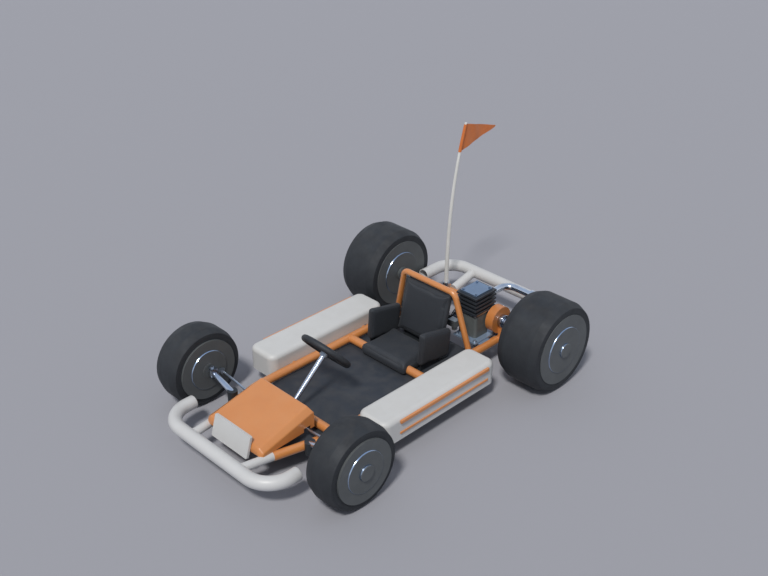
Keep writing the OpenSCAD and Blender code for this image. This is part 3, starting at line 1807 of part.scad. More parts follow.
left_rail();
right_rail();
front_crossmember();
seat_crossmember();
rear_crossmember();
floor_pan();
front_bumper();
rear_bumper();
front_bumper_struts();
rear_bumper_struts();
nose_cone();
number_plate();
left_side_pod();
right_side_pod();
side_pod_strips();
side_pod_bars();
seat_frame();
seat_base_cushion();
seat_back_cushion();
left_seat_bolster();
right_seat_bolster();
seat_hoop();
column_support();
steering_column();
steering_wheel_grip();
steering_wheel_spider();
left_tie_rod();
right_tie_rod();
front_axle_beams();
axle_clamps();
kingpins();
left_knuckle();
right_knuckle();
front_left_tyre();
front_left_rim();
front_right_tyre();
front_right_rim();
rear_axle();
rear_tyres();
rear_rims();
axle_carriers();
brake_drum();
brake_shoes();
axle_sprocket();
engine_sprocket();
drive_chain();
engine_mount();
engine_block();
cooling_fins();
cylinder_head();
spark_plug();
carburettor();
air_filter();
fuel_tank();
exhaust_pipe();
pedal_brackets();
brake_pedal();
throttle_pedal();
flag_pole();
flag_pennant();
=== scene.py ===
import json
import math

import bmesh
import bpy
from mathutils import Matrix, Vector

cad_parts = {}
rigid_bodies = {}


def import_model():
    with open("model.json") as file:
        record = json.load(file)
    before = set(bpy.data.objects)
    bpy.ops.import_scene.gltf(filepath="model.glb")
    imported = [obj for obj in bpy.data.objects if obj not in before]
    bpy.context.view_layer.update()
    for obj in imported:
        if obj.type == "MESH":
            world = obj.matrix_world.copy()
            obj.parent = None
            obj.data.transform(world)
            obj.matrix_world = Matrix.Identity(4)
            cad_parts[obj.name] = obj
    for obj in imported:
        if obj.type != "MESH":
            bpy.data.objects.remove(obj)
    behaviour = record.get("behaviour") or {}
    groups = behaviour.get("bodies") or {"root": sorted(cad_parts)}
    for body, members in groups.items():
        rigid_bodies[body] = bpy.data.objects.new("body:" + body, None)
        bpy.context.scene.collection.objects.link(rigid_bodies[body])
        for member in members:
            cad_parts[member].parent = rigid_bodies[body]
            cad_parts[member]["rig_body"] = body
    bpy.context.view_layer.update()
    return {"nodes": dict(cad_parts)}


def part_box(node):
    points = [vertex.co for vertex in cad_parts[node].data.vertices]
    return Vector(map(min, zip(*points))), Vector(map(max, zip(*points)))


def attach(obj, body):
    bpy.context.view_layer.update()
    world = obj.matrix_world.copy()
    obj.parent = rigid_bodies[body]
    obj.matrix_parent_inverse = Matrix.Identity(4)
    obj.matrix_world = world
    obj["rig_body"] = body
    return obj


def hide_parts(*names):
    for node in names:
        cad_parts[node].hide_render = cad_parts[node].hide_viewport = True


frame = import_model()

scene = bpy.context.scene
nodes = frame["nodes"]
both_sides = (("left", 1), ("right", -1))
full_turn = 2 * math.pi

# Lines of the kart that more than one piece is set out from, in metres
front_axle = Vector((0, -0.589864, 0.16))
rear_axle = Vector((0, 0.460136, 0.189))
tube_height, tube_radius, rail_side = 0.1, 0.0175, 0.22
above_rails = 0.1178
bumper_radius = 0.0265
front_bar = Vector((0.299, front_axle.y - 0.262, 0.107))
rear_bar = Vector((0.315, rear_axle.y + 0.295, 0.15))
column_foot = Vector((0, front_axle.y + 0.11, 0.128))
column_frame = Matrix.Translation(column_foot) @ Matrix.Rotation(math.radians(-48.4), 4, "X")
column_length = 0.233
seat_y = front_axle.y + 0.612
pole_foot = Vector((-0.2, rear_axle.y + 0.134, 0))


# Shader nodes
def add(tree, kind, sockets=None, **settings):
    """One shader node, its settings, and its sockets' values or sources."""
    made = tree.nodes.new("ShaderNode" + kind)
    for name, value in settings.items():
        setattr(made, name, value)
    for name, value in (sockets or {}).items():
        if isinstance(value, bpy.types.NodeSocket):
            tree.links.new(value, made.inputs[name])
        else:
            made.inputs[name].default_value = value
    return made


def reckon(tree, operation, first, second):
    return add(tree, "Math", {0: first, 1: second}, operation=operation).outputs[0]


def product(tree, first, second):
    return reckon(tree, "MULTIPLY", first, second)


def ramp(tree, value, low, high, kind="LINEAR"):
    """0 where the value is low, 1 where it is high."""
    sockets = {"Value": value, "From Min": low, "From Max": high}
    return add(tree, "MapRange", sockets, interpolation_type=kind).outputs[0]


def between(tree, mask, low, high):
    return add(tree, "MapRange", {"Value": mask, "To Min": low, "To Max": high}).outputs[0]


def own_place(tree):
    return add(tree, "TexCoord").outputs["Object"]


def clouds(tree, scale, detail, roughness=0.5, place=None):
    sockets = {"Vector": place or own_place(tree), "Scale": scale, "Detail": detail,
               "Roughness": roughness}
    return add(tree, "TexNoise", sockets).outputs["Fac"]


def ink(*values):
    """A colour from its 0 to 255 values."""
    shares = [value / 255 for value in values]
    return *(s / 12.92 if s <= 0.04045 else ((s + 0.055) / 1.055) ** 2.4 for s in shares), 1


def blend_inks(tree, share, first, second):
    return add(tree, "Mix", {0: share, 6: first, 7: second}, data_type="RGBA").outputs[2]


def new_material(name):
    """A material, its tree and its shader."""
    material = bpy.data.materials.new(name)
    material.use_nodes = True
    return material, material.node_tree, material.node_tree.nodes["Principled BSDF"]


# Camera, floor and light
def put_in_scene(name, data):
    item = bpy.data.objects.new(name, data)
    scene.collection.objects.link(item)
    return item


def stand(name, shape):
    """An object from a bmesh, which is used up."""
    mesh = bpy.data.meshes.new(name)
    shape.to_mesh(mesh)
    shape.free()
    return put_in_scene(name, mesh)


def look_along(item, way):
    item.rotation_mode = "QUATERNION"
    item.rotation_quaternion = Vector(way).to_track_quat("-Z", "Y")


def aim_camera():
    lens = bpy.data.cameras.new("photo_camera")
    lens.lens = 50
    lens.sensor_width = 36
    camera = put_in_scene("photo_camera", lens)
    camera.location = (2.5476, -2.5386, 2.4681)
    look_along(camera, (-0.6163, 0.6147, -0.4922))
    scene.camera = camera


def light_the_studio():
    """A soft sun, a dim fill, and a brighter sky that only shows and reflects."""
    sun = bpy.data.lights.new("soft_sun", "SUN")
    sun.energy = 2.3
    sun.angle = math.radians(9)
    sun.color = (1, 0.97, 0.92)
    look_along(put_in_scene("soft_sun", sun), (-0.328, 0.617, -1))
    world = bpy.data.worlds.new("studio")
    scene.world = world
    world.use_nodes = True
    tree = world.node_tree
    tree.nodes.clear()
    rays = add(tree, "LightPath").outputs
    seen = reckon(tree, "MAXIMUM", rays["Is Camera Ray"], rays["Is Glossy Ray"])
    shown = reckon(tree, "MAXIMUM", seen, rays["Is Transmission Ray"])
    fill = add(tree, "Background", {"Color": ink(232, 238, 250), "Strength": 0.42})
    height = add(tree, "SeparateXYZ", {0: add(tree, "TexCoord").outputs["Generated"]}).outputs[2]
    sky = blend_inks(tree, ramp(tree, height, -0.05, 0.8), ink(238, 240, 244), ink(182, 198, 222))
    backdrop = add(tree, "Background", {"Color": sky})
    both = add(tree, "MixShader", {0: shown, 1: fill.outputs[0], 2: backdrop.outputs[0]})
    add(tree, "OutputWorld", {"Surface": both.outputs[0]})
    scene.view_settings.view_transform = "Standard"


def lay_floor():
    shape = bmesh.new()
    bmesh.ops.create_grid(shape, x_segments=1, y_segments=1, size=14)
    floor = stand("floor", shape)
    paint, _, shader = new_material("floor_paint")
    shader.inputs["Base Color"].default_value = ink(158, 159, 167)
    shader.inputs["Roughness"].default_value = 0.85
    floor.data.materials.append(paint)


# Effects that several finishes share
def mottle(tree, given):
    return ramp(tree, clouds(tree, given["Scale"], 4, 0.6), 0.32, 0.68)


def surface_grain(tree, given):
    return clouds(tree, given["Scale"], 2)


def settled_dust(tree, given):
    """Patches on whatever faces up."""
    up = add(tree, "SeparateXYZ", {0: add(tree, "TexCoord").outputs["Normal"]}).outputs[2]
    patch = ramp(tree, clouds(tree, 22, 5), 0.38, 0.72)
    return product(tree, product(tree, ramp(tree, up, 0.35, 0.95), patch), given["Amount"])


def rubbed_edges(tree, given):
    """Patches along the edges, where a rounded normal leaves the true one."""
    rounded = add(tree, "Bevel", {"Radius": given["Width"]}, samples=4).outputs[0]
    normals = {0: rounded, 1: add(tree, "NewGeometry").outputs["Normal"]}
    same = add(tree, "VectorMath", normals, operation="DOT_PRODUCT").outputs["Value"]
    patch = ramp(tree, clouds(tree, 65, 4), 0.45, 0.62)
    return product(tree, product(tree, ramp(tree, same, 0.985, 0.9), patch), given["Amount"])


def turned_rings(tree, given):
    """Fine rings round a wheel's centre, as a lathe leaves them."""
    place = add(tree, "SeparateXYZ", {0: own_place(tree)}).outputs
    y = reckon(tree, "SUBTRACT", place[1], given["Centre Y"])
    z = reckon(tree, "SUBTRACT", place[2], given["Centre Z"])
    out = add(tree, "CombineXYZ", {0: y, 1: z}).outputs[0]
    radius = add(tree, "VectorMath", {0: out}, operation="LENGTH").outputs["Value"]
    sockets = {"W": product(tree, radius, given["Scale"]), "Scale": 1, "Detail": 1}
    return add(tree, "TexNoise", sockets, noise_dimensions="1D").outputs["Fac"]


def drawn_lines(tree, given):
    """Long marks, as drawing or brushing leaves them."""
    pull = add(tree, "CombineXYZ", {axis: given[axis] for axis in range(3)}).outputs[0]
    pulled = add(tree, "VectorMath", {0: own_place(tree), 1: pull}, operation="MULTIPLY")
    return clouds(tree, 1, 3, place=pulled.outputs[0])


def hide_pores(tree, given):
    sockets = {"Vector": own_place(tree), "Scale": given["Scale"]}
    cell = add(tree, "TexVoronoi", sockets, feature="DISTANCE_TO_EDGE")
    return ramp(tree, cell.outputs["Distance"], 0, 0.32, "SMOOTHSTEP")


def effect(name, output, build, inputs):
    """A node group that puts out the one value that build makes from its inputs."""
    tree = bpy.data.node_groups.new(name, "ShaderNodeTree")
    for label, value in inputs.items():
        socket = tree.interface.new_socket(label, in_out="INPUT", socket_type="NodeSocketFloat")
        socket.default_value = value
    tree.interface.new_socket(output, in_out="OUTPUT", socket_type="NodeSocketFloat")
    given = tree.nodes.new("NodeGroupInput").outputs
    tree.links.new(build(tree, given), tree.nodes.new("NodeGroupOutput").inputs[output])
    return tree


effects = {row[0]: effect(*row) for row in (
    # name, name of its output, function, inputs
    ("mottle", "Mask", mottle, {"Scale": 9}),
    ("surface_grain", "Height", surface_grain, {"Scale": 700}),
    ("settled_dust", "Mask", settled_dust, {"Amount": 0.2}),
    ("rubbed_edges", "Mask", rubbed_edges, {"Width": 0.0015, "Amount": 0.5}),
    ("turned_rings", "Height", turned_rings, {"Centre Y": 0, "Centre Z": 0.16, "Scale": 900}),
    ("drawn_lines", "Height", drawn_lines, {"X Scale": 1, "Y Scale": 1, "Z Scale": 1}),
    ("hide_pores", "Height", hide_pores, {"Scale": 420}),
)}


def use(tree, name, values):
    made = tree.nodes.new("ShaderNodeGroup")
    made.node_tree = effects[name]
    for label, value in values.items():
        made.inputs[label].default_value = value
    return made.outputs[0]


# Finishes
finishes, slot_of = {}, {}
coat_roughness = 0.32
dust_colour, dust_roughness = ink(158, 150, 138), 0.9


def wire(tree, shader, colour, gloss, height, depth, strength):
    bump = add(tree, "Bump", {"Height": height, "Distance": depth, "Strength": strength})
    tree.links.new(colour, shader.inputs["Base Color"])
    tree.links.new(gloss, shader.inputs["Roughness"])
    tree.links.new(bump.outputs[0], shader.inputs["Normal"])


def finish(name, light, dark, rough, relief, blotch=9, metallic=0.0, coat=0.0, sheen=0.0,
           rub=None, dust=0.0, depth=0.0002, strength=0.3):
    """A finish: two close tones in blotches, rubbed edges, settled dust and a fine relief."""
    material, tree, shader = new_material(name)
    blotches = use(tree, "mottle", {"Scale": blotch})
    colour = blend_inks(tree, blotches, ink(*dark), ink(*light))
    if rub:
        rubbed = use(tree, "rubbed_edges", {"Amount": rub[1]})
        colour = blend_inks(tree, rubbed, colour, ink(*rub[0]))
    gloss = between(tree, blotches, rough[1], rough[0])
    if dust:
        settled = use(tree, "settled_dust", {"Amount": dust})
        colour = blend_inks(tree, settled, colour, dust_colour)
        gloss = add(tree, "Mix", {0: settled, 2: gloss, 3: dust_roughness}).outputs[0]
    wire(tree, shader, colour, gloss, use(tree, *relief), depth, strength)
    shader.inputs["Metallic"].default_value = metallic
    shader.inputs["Coat Weight"].default_value = coat
    shader.inputs["Coat Roughness"].default_value = coat_roughness
    shader.inputs["Sheen Weight"].default_value = sheen
    return material


def woven_cloth(name, light, dark, threads):
    """Cloth in plain weave, its threads counted along the piece's own map."""
    material, tree, shader = new_material(name)
    sockets = {"Vector": add(tree, "UVMap", uv_map="weave").outputs[0], "Scale": threads,
               "Distortion": 0.6, "Detail": 1}
    warp, weft = (add(tree, "TexWave", sockets, bands_direction=axis).outputs["Fac"]
                  for axis in ("X", "Y"))
    over = reckon(tree, "MAXIMUM", warp, weft)
    blotches = use(tree, "mottle", {"Scale": 20})
    colour = blend_inks(tree, product(tree, over, blotches), ink(*dark), ink(*light))
    wire(tree, shader, colour, between(tree, blotches, 0.62, 0.76), over, 0.0003, 0.4)
    shader.inputs["Sheen Weight"].default_value = 0.2
    return material


def dress(slot, members, material):
    """Gives a slot and the CAD nodes in it their finish."""
    finishes[slot] = material
    for node in members:
        slot_of[node] = slot
        nodes[node].data.materials.clear()
        nodes[node].data.materials.append(material)


def grain(scale):
    return "surface_grain", {"Scale": scale}


def pores(scale):
    return "hide_pores", {"Scale": scale}


def drawn(x, y, z):
    return "drawn_lines", {"X Scale": x, "Y Scale": y, "Z Scale": z}


def rings(axle):
    return "turned_rings", {"Centre Y": axle.y, "Centre Z": axle.z, "Scale": 1400}


fine, moulded, cast, across = grain(900), grain(1600), grain(420), drawn(12, 900, 900)
bare_steel, bright_metal = (150, 154, 158), (190, 200, 212)

dress("frame_orange", ["left_rail", "right_rail", "front_crossmember", "seat_crossmember",
                       "rear_crossmember", "side_pod_bars", "seat_hoop", "axle_carriers"], finish(
    "orange_enamel", (209, 137, 75), (204, 130, 68), (0.3, 0.42), fine,
    coat=0.8, rub=(bare_steel, 0.35), dust=0.05))
dress("panel_orange", ["nose_cone", "side_pod_strips"], finish(
    "orange_panel", (210, 138, 78), (206, 132, 71), (0.36, 0.46), moulded,
    coat=0.7, rub=((226, 160, 112), 0.5), dust=0.05))
dress("brake_orange", ["brake_drum", "brake_shoes", "brake_pedal"], finish(
    "orange_brake_enamel", (207, 131, 68), (196, 120, 57), (0.4, 0.55), cast,
    coat=0.5, rub=(bare_steel, 0.5), dust=0.08))
dress("bumper_white", ["front_bumper", "rear_bumper", "front_bumper_struts",
                       "rear_bumper_struts"], finish(
    "white_bumper_sleeve", (204, 205, 206), (200, 201, 202), (0.38, 0.5), fine,
    coat=0.1, rub=((168, 168, 168), 0.25), dust=0.06))
dress("pod_white", ["left_side_pod", "right_side_pod", "number_plate"], finish(
    "white_pod_shell", (205, 206, 206), (201, 202, 202), (0.4, 0.5), moulded,
    rub=((178, 178, 176), 0.25), dust=0.07))
dress("pan_blue_grey", ["floor_pan"], finish(
    "blue_grey_pan", (45, 50, 58), (39, 44, 52), (0.55, 0.68), cast,
    blotch=6, rub=(bare_steel, 0.5), dust=0.06))
dress("seat_black", ["seat_base_cushion", "seat_back_cushion", "left_seat_bolster",
                     "right_seat_bolster"], finish(
    "charcoal_hide", (42, 46, 52), (37, 41, 47), (0.55, 0.68), pores(430),
    sheen=0.05, rub=((66, 69, 73), 0.25), dust=0.03, depth=0.00035, strength=0.5))
dress("grip_black", ["steering_wheel_grip"], finish(
    "black_grip_hide", (38, 41, 46), (31, 34, 38), (0.5, 0.64), pores(620),
    depth=0.0003, strength=0.5))
dress("dark_steel", ["seat_frame", "column_support", "axle_clamps", "pedal_brackets",
                     "axle_sprocket"], finish(
    "dark_phosphate_steel", (66, 71, 76), (52, 56, 61), (0.42, 0.6), cast,
    metallic=0.6, rub=(bare_steel, 0.6), dust=0.06))
# The blue tint in the steel and chrome colours below is a painted reflection of a blue sky.
dress("bright_steel", ["steering_wheel_spider", "left_tie_rod", "right_tie_rod", "kingpins",
                       "left_knuckle", "right_knuckle", "engine_sprocket",
                       "throttle_pedal"], finish(
    "zinc_steel", (186, 193, 202), (162, 170, 180), (0.26, 0.42), fine,
    metallic=1, dust=0.04))
dress("polished_steel", ["steering_column", "front_axle_beams", "rear_axle"], finish(
    "polished_steel", (196, 204, 216), (176, 184, 198), (0.14, 0.26), across,
    metallic=1, depth=0.00008))
dress("exhaust_chrome", ["exhaust_pipe"], finish(
    "exhaust_chrome", (212, 217, 224), (188, 194, 203), (0.1, 0.24), across,
    blotch=16, metallic=1, depth=0.00008))
dress("tyre_rubber", ["front_left_tyre", "front_right_tyre", "rear_tyres"], finish(
    "slick_rubber", (38, 42, 47), (33, 36, 41), (0.62, 0.8), grain(320),
    blotch=14, dust=0.04, depth=0.0004, strength=0.35))
dress("wheel_grey", ["front_left_rim", "front_right_rim", "rear_rims"], finish(
    "grey_wheel_enamel", (91, 95, 97), (84, 88, 90), (0.42, 0.54), fine,
    blotch=12, metallic=0.1, rub=(bare_steel, 0.4)))
dress("chain_steel", ["drive_chain"], finish(
    "oiled_chain_steel", (112, 114, 116), (70, 70, 70), (0.3, 0.5), fine,
    blotch=120, metallic=0.9))
# The blue in these alloy plates' colour is a painted reflection of a blue sky.
dress("engine_plate", ["engine_mount", "cylinder_head"], finish(
    "alloy_plate_painted_sky_reflection", (136, 156, 180), (124, 144, 168), (0.24, 0.36), across,
    metallic=0.75, rub=(bright_metal, 0.6), depth=0.0001))
dress("engine_grey", ["engine_block"], finish(
    "cast_crankcase", (106, 111, 111), (94, 99, 99), (0.46, 0.62), grain(260),
    blotch=30, metallic=0.1, rub=(bare_steel, 0.45), dust=0.06, depth=0.0006,
    strength=0.45))
dress("fin_black", ["cooling_fins"], finish(
    "black_fin_coating", (50, 55, 62), (40, 44, 50), (0.42, 0.58), cast,
    rub=((92, 96, 100), 0.45), dust=0.05))
dress("plug_white", ["spark_plug"], finish(
    "plug_ceramic", (222, 222, 216), (208, 207, 200), (0.14, 0.26), fine, coat=0.4))
dress("carburettor_grey", ["carburettor"], finish(
    "cast_carburettor", (156, 161, 164), (134, 139, 142), (0.34, 0.5), cast,
    metallic=0.7, rub=((196, 200, 204), 0.5)))
dress("filter_black", ["air_filter"], finish(
    "oiled_filter_foam", (46, 47, 48), (30, 31, 32), (0.85, 0.95), pores(560),
    depth=0.0012, strength=0.9))
dress("tank_black", ["fuel_tank"], finish(
    "black_tank_plastic", (40, 43, 47), (32, 35, 38), (0.34, 0.5), moulded, dust=0.06))
dress("pole_cream", ["flag_pole"], finish(
    "cream_pole_lacquer", (226, 226, 223), (217, 217, 213), (0.3, 0.44),
    drawn(700, 700, 9), coat=0.2, depth=0.0001))
dress("pennant_orange", ["flag_pennant"],
      woven_cloth("pennant_cloth", (222, 126, 60), (206, 110, 46), 34))
# The pale blue of the turned steel is a painted reflection of a blue sky.
front_turned, rear_turned = (
    finish(name, (176, 192, 214), (150, 166, 190), (0.16, 0.28), rings(axle),
           metallic=1, depth=0.0001)
    for name, axle in (("front_turned_steel", front_axle), ("rear_turned_steel", rear_axle)))
# The blue in the foot plate's colour is a painted reflection of a blue sky.
foot_plate = finish("alloy_foot_plate_painted_sky_reflection", (140, 160, 184), (128, 148, 172), (0.3, 0.44), across,
                    metallic=0.3, rub=(bright_metal, 0.6), dust=0.04, depth=0.0001)
waxed_thread = finish("waxed_thread", (96, 98, 102), (78, 80, 84), (0.6, 0.75), moulded)


# How a new piece is made and joined to the kart
def set_piece(name, shape, slot, body="root", material=None, sharp=38, stands_for=(),
              even=False):
    """A piece from a bmesh: smooth up to the given angle, on its body and with its finish."""
    bmesh.ops.recalc_face_normals(shape, faces=shape.faces)
    for face in shape.faces:
        face.smooth = True
    for edge in shape.edges:
        joined = len(edge.link_faces) == 2
        edge.smooth = joined and edge.calc_face_angle() < math.radians(sharp)
    piece = stand(name, shape)
    piece.data.materials.append(material or finishes[slot])
    if even:
        piece.modifiers.new("even_shading", "WEIGHTED_NORMAL").keep_sharp = True
    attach(piece, body)
    if stands_for:
        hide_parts(*stands_for)
    return piece


def bake(piece):
    """Applies what a piece's modifiers make of its mesh."""
    bpy.context.view_layer.update()
    seen = piece.evaluated_get(bpy.context.evaluated_depsgraph_get())
    mesh = bpy.data.meshes.new_from_object(seen)
    piece.modifiers.clear()
    piece.data = mesh


def round_cord(name, points, radius, slot, narrow=1):
    """A closed cord through the points, every other one with the narrower section."""
    curve = bpy.data.curves.new(name, "CURVE")
    curve.dimensions = "3D"
    curve.bevel_depth = radius
    curve.bevel_resolution = 2
    line = curve.splines.new("POLY")
    line.points.add(len(points) - 1)
    line.use_cyclic_u = True
    for number, (knot, at) in enumerate(zip(line.points, points)):
        knot.co = (*at, 1)
        knot.radius = 1 if number % 2 else narrow
    cord = bpy.data.objects.new(name, curve)
    mesh = bpy.data.meshes.new_from_object(cord)
    bpy.data.objects.remove(cord)
    shape = bmesh.new()
    shape.from_mesh(mesh)
    bpy.data.meshes.remove(mesh)
    set_piece(name, shape, slot, sharp=80)


def merge_close(shape, gap=0.000001):
    bmesh.ops.remove_doubles(shape, verts=shape.verts, dist=gap)


def merged(node):
    """A copy of a CAD node's shape with its triangles joined up."""
    shape = bmesh.new()
    shape.from_mesh(nodes[node].data)
    merge_close(shape, 0.00002)
    bmesh.ops.dissolve_limit(shape, angle_limit=math.radians(0.5), verts=shape.verts,
                             edges=shape.edges)
    return shape


def round_off(shape, geom, width, steps, affect="EDGES", clamp=True):
    bmesh.ops.bevel(shape, geom=geom, offset=width, segments=steps, profile=0.5,
                    affect=affect, clamp_overlap=clamp, material=-1)


def soften(shape, width):
    """Rounds every edge that turns by more than 30 degrees."""
    round_off(shape, [e for e in shape.edges if len(e.link_faces) == 2
                      and e.calc_face_angle() > math.radians(30)], width, 2)


def round_corners(shape, radius, low=-math.inf, high=math.inf):
    """Rounds the upright edges that lie between two heights."""
    round_off(shape, [e for e in shape.edges
                      if (e.verts[0].co.xy - e.verts[1].co.xy).length < 0.0001
                      and all(low < v.co.z < high for v in e.verts)], radius, 6)


def ease_edges(node, width, corners=None, material=None):
    """Stands a copy with eased edges in for a CAD node; corners: radius, lowest and highest z."""
    shape = merged(node)
    if corners:
        round_corners(shape, *corners)
    soften(shape, width)
    body = nodes[node]["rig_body"]
    set_piece(node + "_eased", shape, slot_of[node], body, material, stands_for=[node],
              even=True)


def block(shape, seat, size):
    """A block of the given size, its middle at the seat."""
    place = seat @ Matrix.Diagonal((*size, 1))
    return bmesh.ops.create_cube(shape, size=1, matrix=place)["verts"]


def rounded_slab(name, low, high, corner, slot, soft=0.0004):
    """A slab with rounded upright corners and softened edges."""
    shape = bmesh.new()
    block(shape, Matrix.Translation((low + high) / 2), high - low)
    round_corners(shape, corner)
    soften(shape, soft)
    return set_piece(name, shape, slot, even=True)


def facing(start, way, axis="Z", up="Y"):
    """A place at the start with one axis along the given way."""
    return Matrix.Translation(start) @ Vector(way).to_track_quat(axis, up).to_matrix().to_4x4()


def edges_in(geom):
    return [g for g in geom if isinstance(g, bmesh.types.BMEdge)]


def edges_at(verts):
    """Each edge at the vertices once, in a steady order."""
    return list(dict.fromkeys(e for v in verts for e in v.link_edges))


def on_circle(turn):
    return math.cos(turn), math.sin(turn)


def revolve(shape, axis, steps):
    bmesh.ops.spin(shape, geom=shape.edges[:], cent=(0, 0, 0), axis=axis, angle=full_turn,
                   steps=steps, use_merge=True)
    merge_close(shape)


def turned(name, section, place, slot, rounding, steps=128, body="root", material=None,
           stands_for=()):
    """A closed section of (outward, radius) points turned about its outward axis."""
    shape = bmesh.new()
    shape.faces.new([shape.verts.new((x, 0, r)) for x, r in section])
    room = 2.2 * rounding
    corners = [v for v in shape.verts if min(e.calc_length() for e in v.link_edges) > room]
    round_off(shape, corners, rounding, 3, affect="VERTICES", clamp=False)
    bmesh.ops.delete(shape, geom=shape.faces[:], context="FACES_ONLY")
    revolve(shape, (1, 0, 0), steps)
    bmesh.ops.transform(shape, matrix=place, verts=shape.verts)
    set_piece(name, shape, slot, body, material, stands_for=stands_for)


# Wheels
wheel_sets = {
    # axle, how far out the tyre's middle is, steel of the trim
    # tyre: radius, half width, shoulder's drop and width, bead's radius
    # disc: radius of its raised middle, how far it stands out
    "front": (front_axle, 0.4355, front_turned,
              (0.16, 0.0625, 0.010, 0.034, 0.104), (0.124 * 0.65, 0.008)),
    "rear": (rear_axle, 0.4465, rear_turned,
             (0.189, 0.0955, 0.0145, 0.033, 0.124), (0.148 * 0.65, 0.0025)),
}


def mount_tyre(name, body, node, place, radius, half, drop, shoulder, bead):
    """A slick: flat tread, bevelled shoulders, two fine moulding lines round each side."""
    wall, line, groove = 0.01, 0.0008, 0.001
    flat, side = half - shoulder, radius - drop
    outer = [(flat, radius), (half, side)]
    for middle in (side - 0.007, bead + 0.025):
        outer += [(half, middle + groove), (half - line, middle), (half, middle - groove)]
    inner = [(half - wall, bead), (half - wall, side - wall), (flat, radius - wall)]
    near = outer + [(half, bead)] + inner
    section = near + [(-x, r) for x, r in reversed(near)]
    turned(name + "_slick", section, place, "tyre_rubber", 0.0016, body=body,
           stands_for=[node])


def trim_wheel(name, body, place, outward, face, step, steel):
    """The polished walls of each disc's raised middle and of its hub cap."""
    rise, cap, cap_end, sink, lap = 0.0035, 0.03, 0.0098, 0.0004, 0.001

    def ring(label, way, wall):
        turned(f"{name}_{label}", [(way * x, r) for x, r in wall], place, "bright_steel",
               0.0003, steps=96, body=body, material=steel)

    for side, way in (("outer", outward), ("inner", -outward)):
        ring(side + "_step", way, [
            (face - sink, step - lap), (face - sink, step + 0.0026),
            (face + rise + 0.0001, step + 0.0003), (face + rise - 0.0006, step - lap)])
    ring("cap_collar", outward, [
        (face + rise - 0.0002, cap - lap), (face + rise - 0.0002, cap + 0.0018),
        (face + cap_end, cap + 0.0004), (face + cap_end - 0.001, cap - lap)])


def fit_wheels():
    for end, (axle, out, steel, tyre, (step, proud)) in wheel_sets.items():
        for side, way in both_sides:
            name = f"{end}_{side}"
            body, node = name + "_wheel", name + "_tyre"
            if end == "rear":
                body, node = "rear_axle_set", "rear_tyres"
            place = Matrix.Translation((way * out, axle.y, axle.z))
            mount_tyre(name, body, node, place, *tyre)
            trim_wheel(name, body, place, way, tyre[1] + proud, step, steel)


# Fittings turned about an axis
def turn_fittings():
    """The pole's ferrule and the axle bearings' covers."""
    low, high, bore, mouth, outside, lip = 0.1182, 0.1504, 0.0139, 0.0107, 0.0149, 0.0008
    ferrule = [(low, bore), (low, outside), (high, outside), (high, mouth), (high - lip, mouth),
               (high - lip, bore)]
    turned("pole_ferrule", ferrule, facing(pole_foot, (0, 0, 1), "X", "Z"), "bright_steel",
           0.0004, steps=64)
    near, far, eye, inside, rim = 0.2264, 0.2448, 0.0168, 0.0268, 0.0283
    cover = [(near, inside), (near, rim), (far - 0.0018, rim), (far, inside - 0.0003), (far, eye),
             (far - 0.0026, eye), (far - 0.0026, inside)]
    for side, way in both_sides:
        turned(side + "_bearing_cover", cover, facing(rear_axle, (way, 0, 0), "X", "Z"),
               "polished_steel", 0.0004, steps=64)


# Bent tubes
def bent_tube(bar, end_y, bend):
    """A bumper's open-ended skin: in along one side, across, and out along the other."""
    sides, steps = 36, 14
    shape = bmesh.new()
    points = [Vector((bar.x, end_y, bar.z)), bar, Vector((-bar.x, bar.y, bar.z)),
              Vector((-bar.x, end_y, bar.z))]
    seat = facing(points[0], (points[1] - points[0]).normalized())
    start = bmesh.ops.create_circle(shape, cap_ends=False, segments=sides, radius=bumper_radius,
                                    matrix=seat)
    ring = edges_at(start["verts"])
    at = points[0]

    def run_to(goal):
        grown = bmesh.ops.extrude_edge_only(shape, edges=ring)["geom"]
        verts = [g for g in grown if isinstance(g, bmesh.types.BMVert)]
        bmesh.ops.translate(shape, verts=verts, vec=goal - at)
        return edges_in(grown)

    for before, corner, after in zip(points, points[1:], points[2:]):
        into = (corner - before).normalized()
        out = (after - corner).normalized()
        angle = into.angle(out)
        reach = bend * math.tan(angle / 2)
        begin = corner - into * reach
        ring = run_to(begin)
        axis = into.cross(out).normalized()
        centre = begin + axis.cross(into) * bend
        spun = bmesh.ops.spin(shape, geom=ring, cent=centre, axis=axis, angle=angle, steps=steps)
        ring = edges_in(spun["geom_last"])
        at = corner + out * reach
    run_to(points[-1])
    merge_close(shape)
    return shape


def bend_bumpers():
    """The front bumper with its two plugged ends, and the rear one with open ends."""
    shape = bent_tube(front_bar, front_axle.y - 0.123, 0.105)
    rims = [e for e in shape.edges if len(e.link_faces) == 1]
    bmesh.ops.holes_fill(shape, edges=rims, sides=0)
    round_off(shape, rims, 0.006, 4)
    set_piece("front_bumper_sleeve", shape, "bumper_white", stands_for=["front_bumper"])
    shape = bent_tube(rear_bar, rear_axle.y + 0.108, 0.095)
    sleeve = set_piece("rear_bumper_sleeve", shape, "bumper_white", stands_for=["rear_bumper"])
    wall = sleeve.modifiers.new("tube_wall", "SOLIDIFY")
    wall.thickness = 0.003
    wall.offset = -1


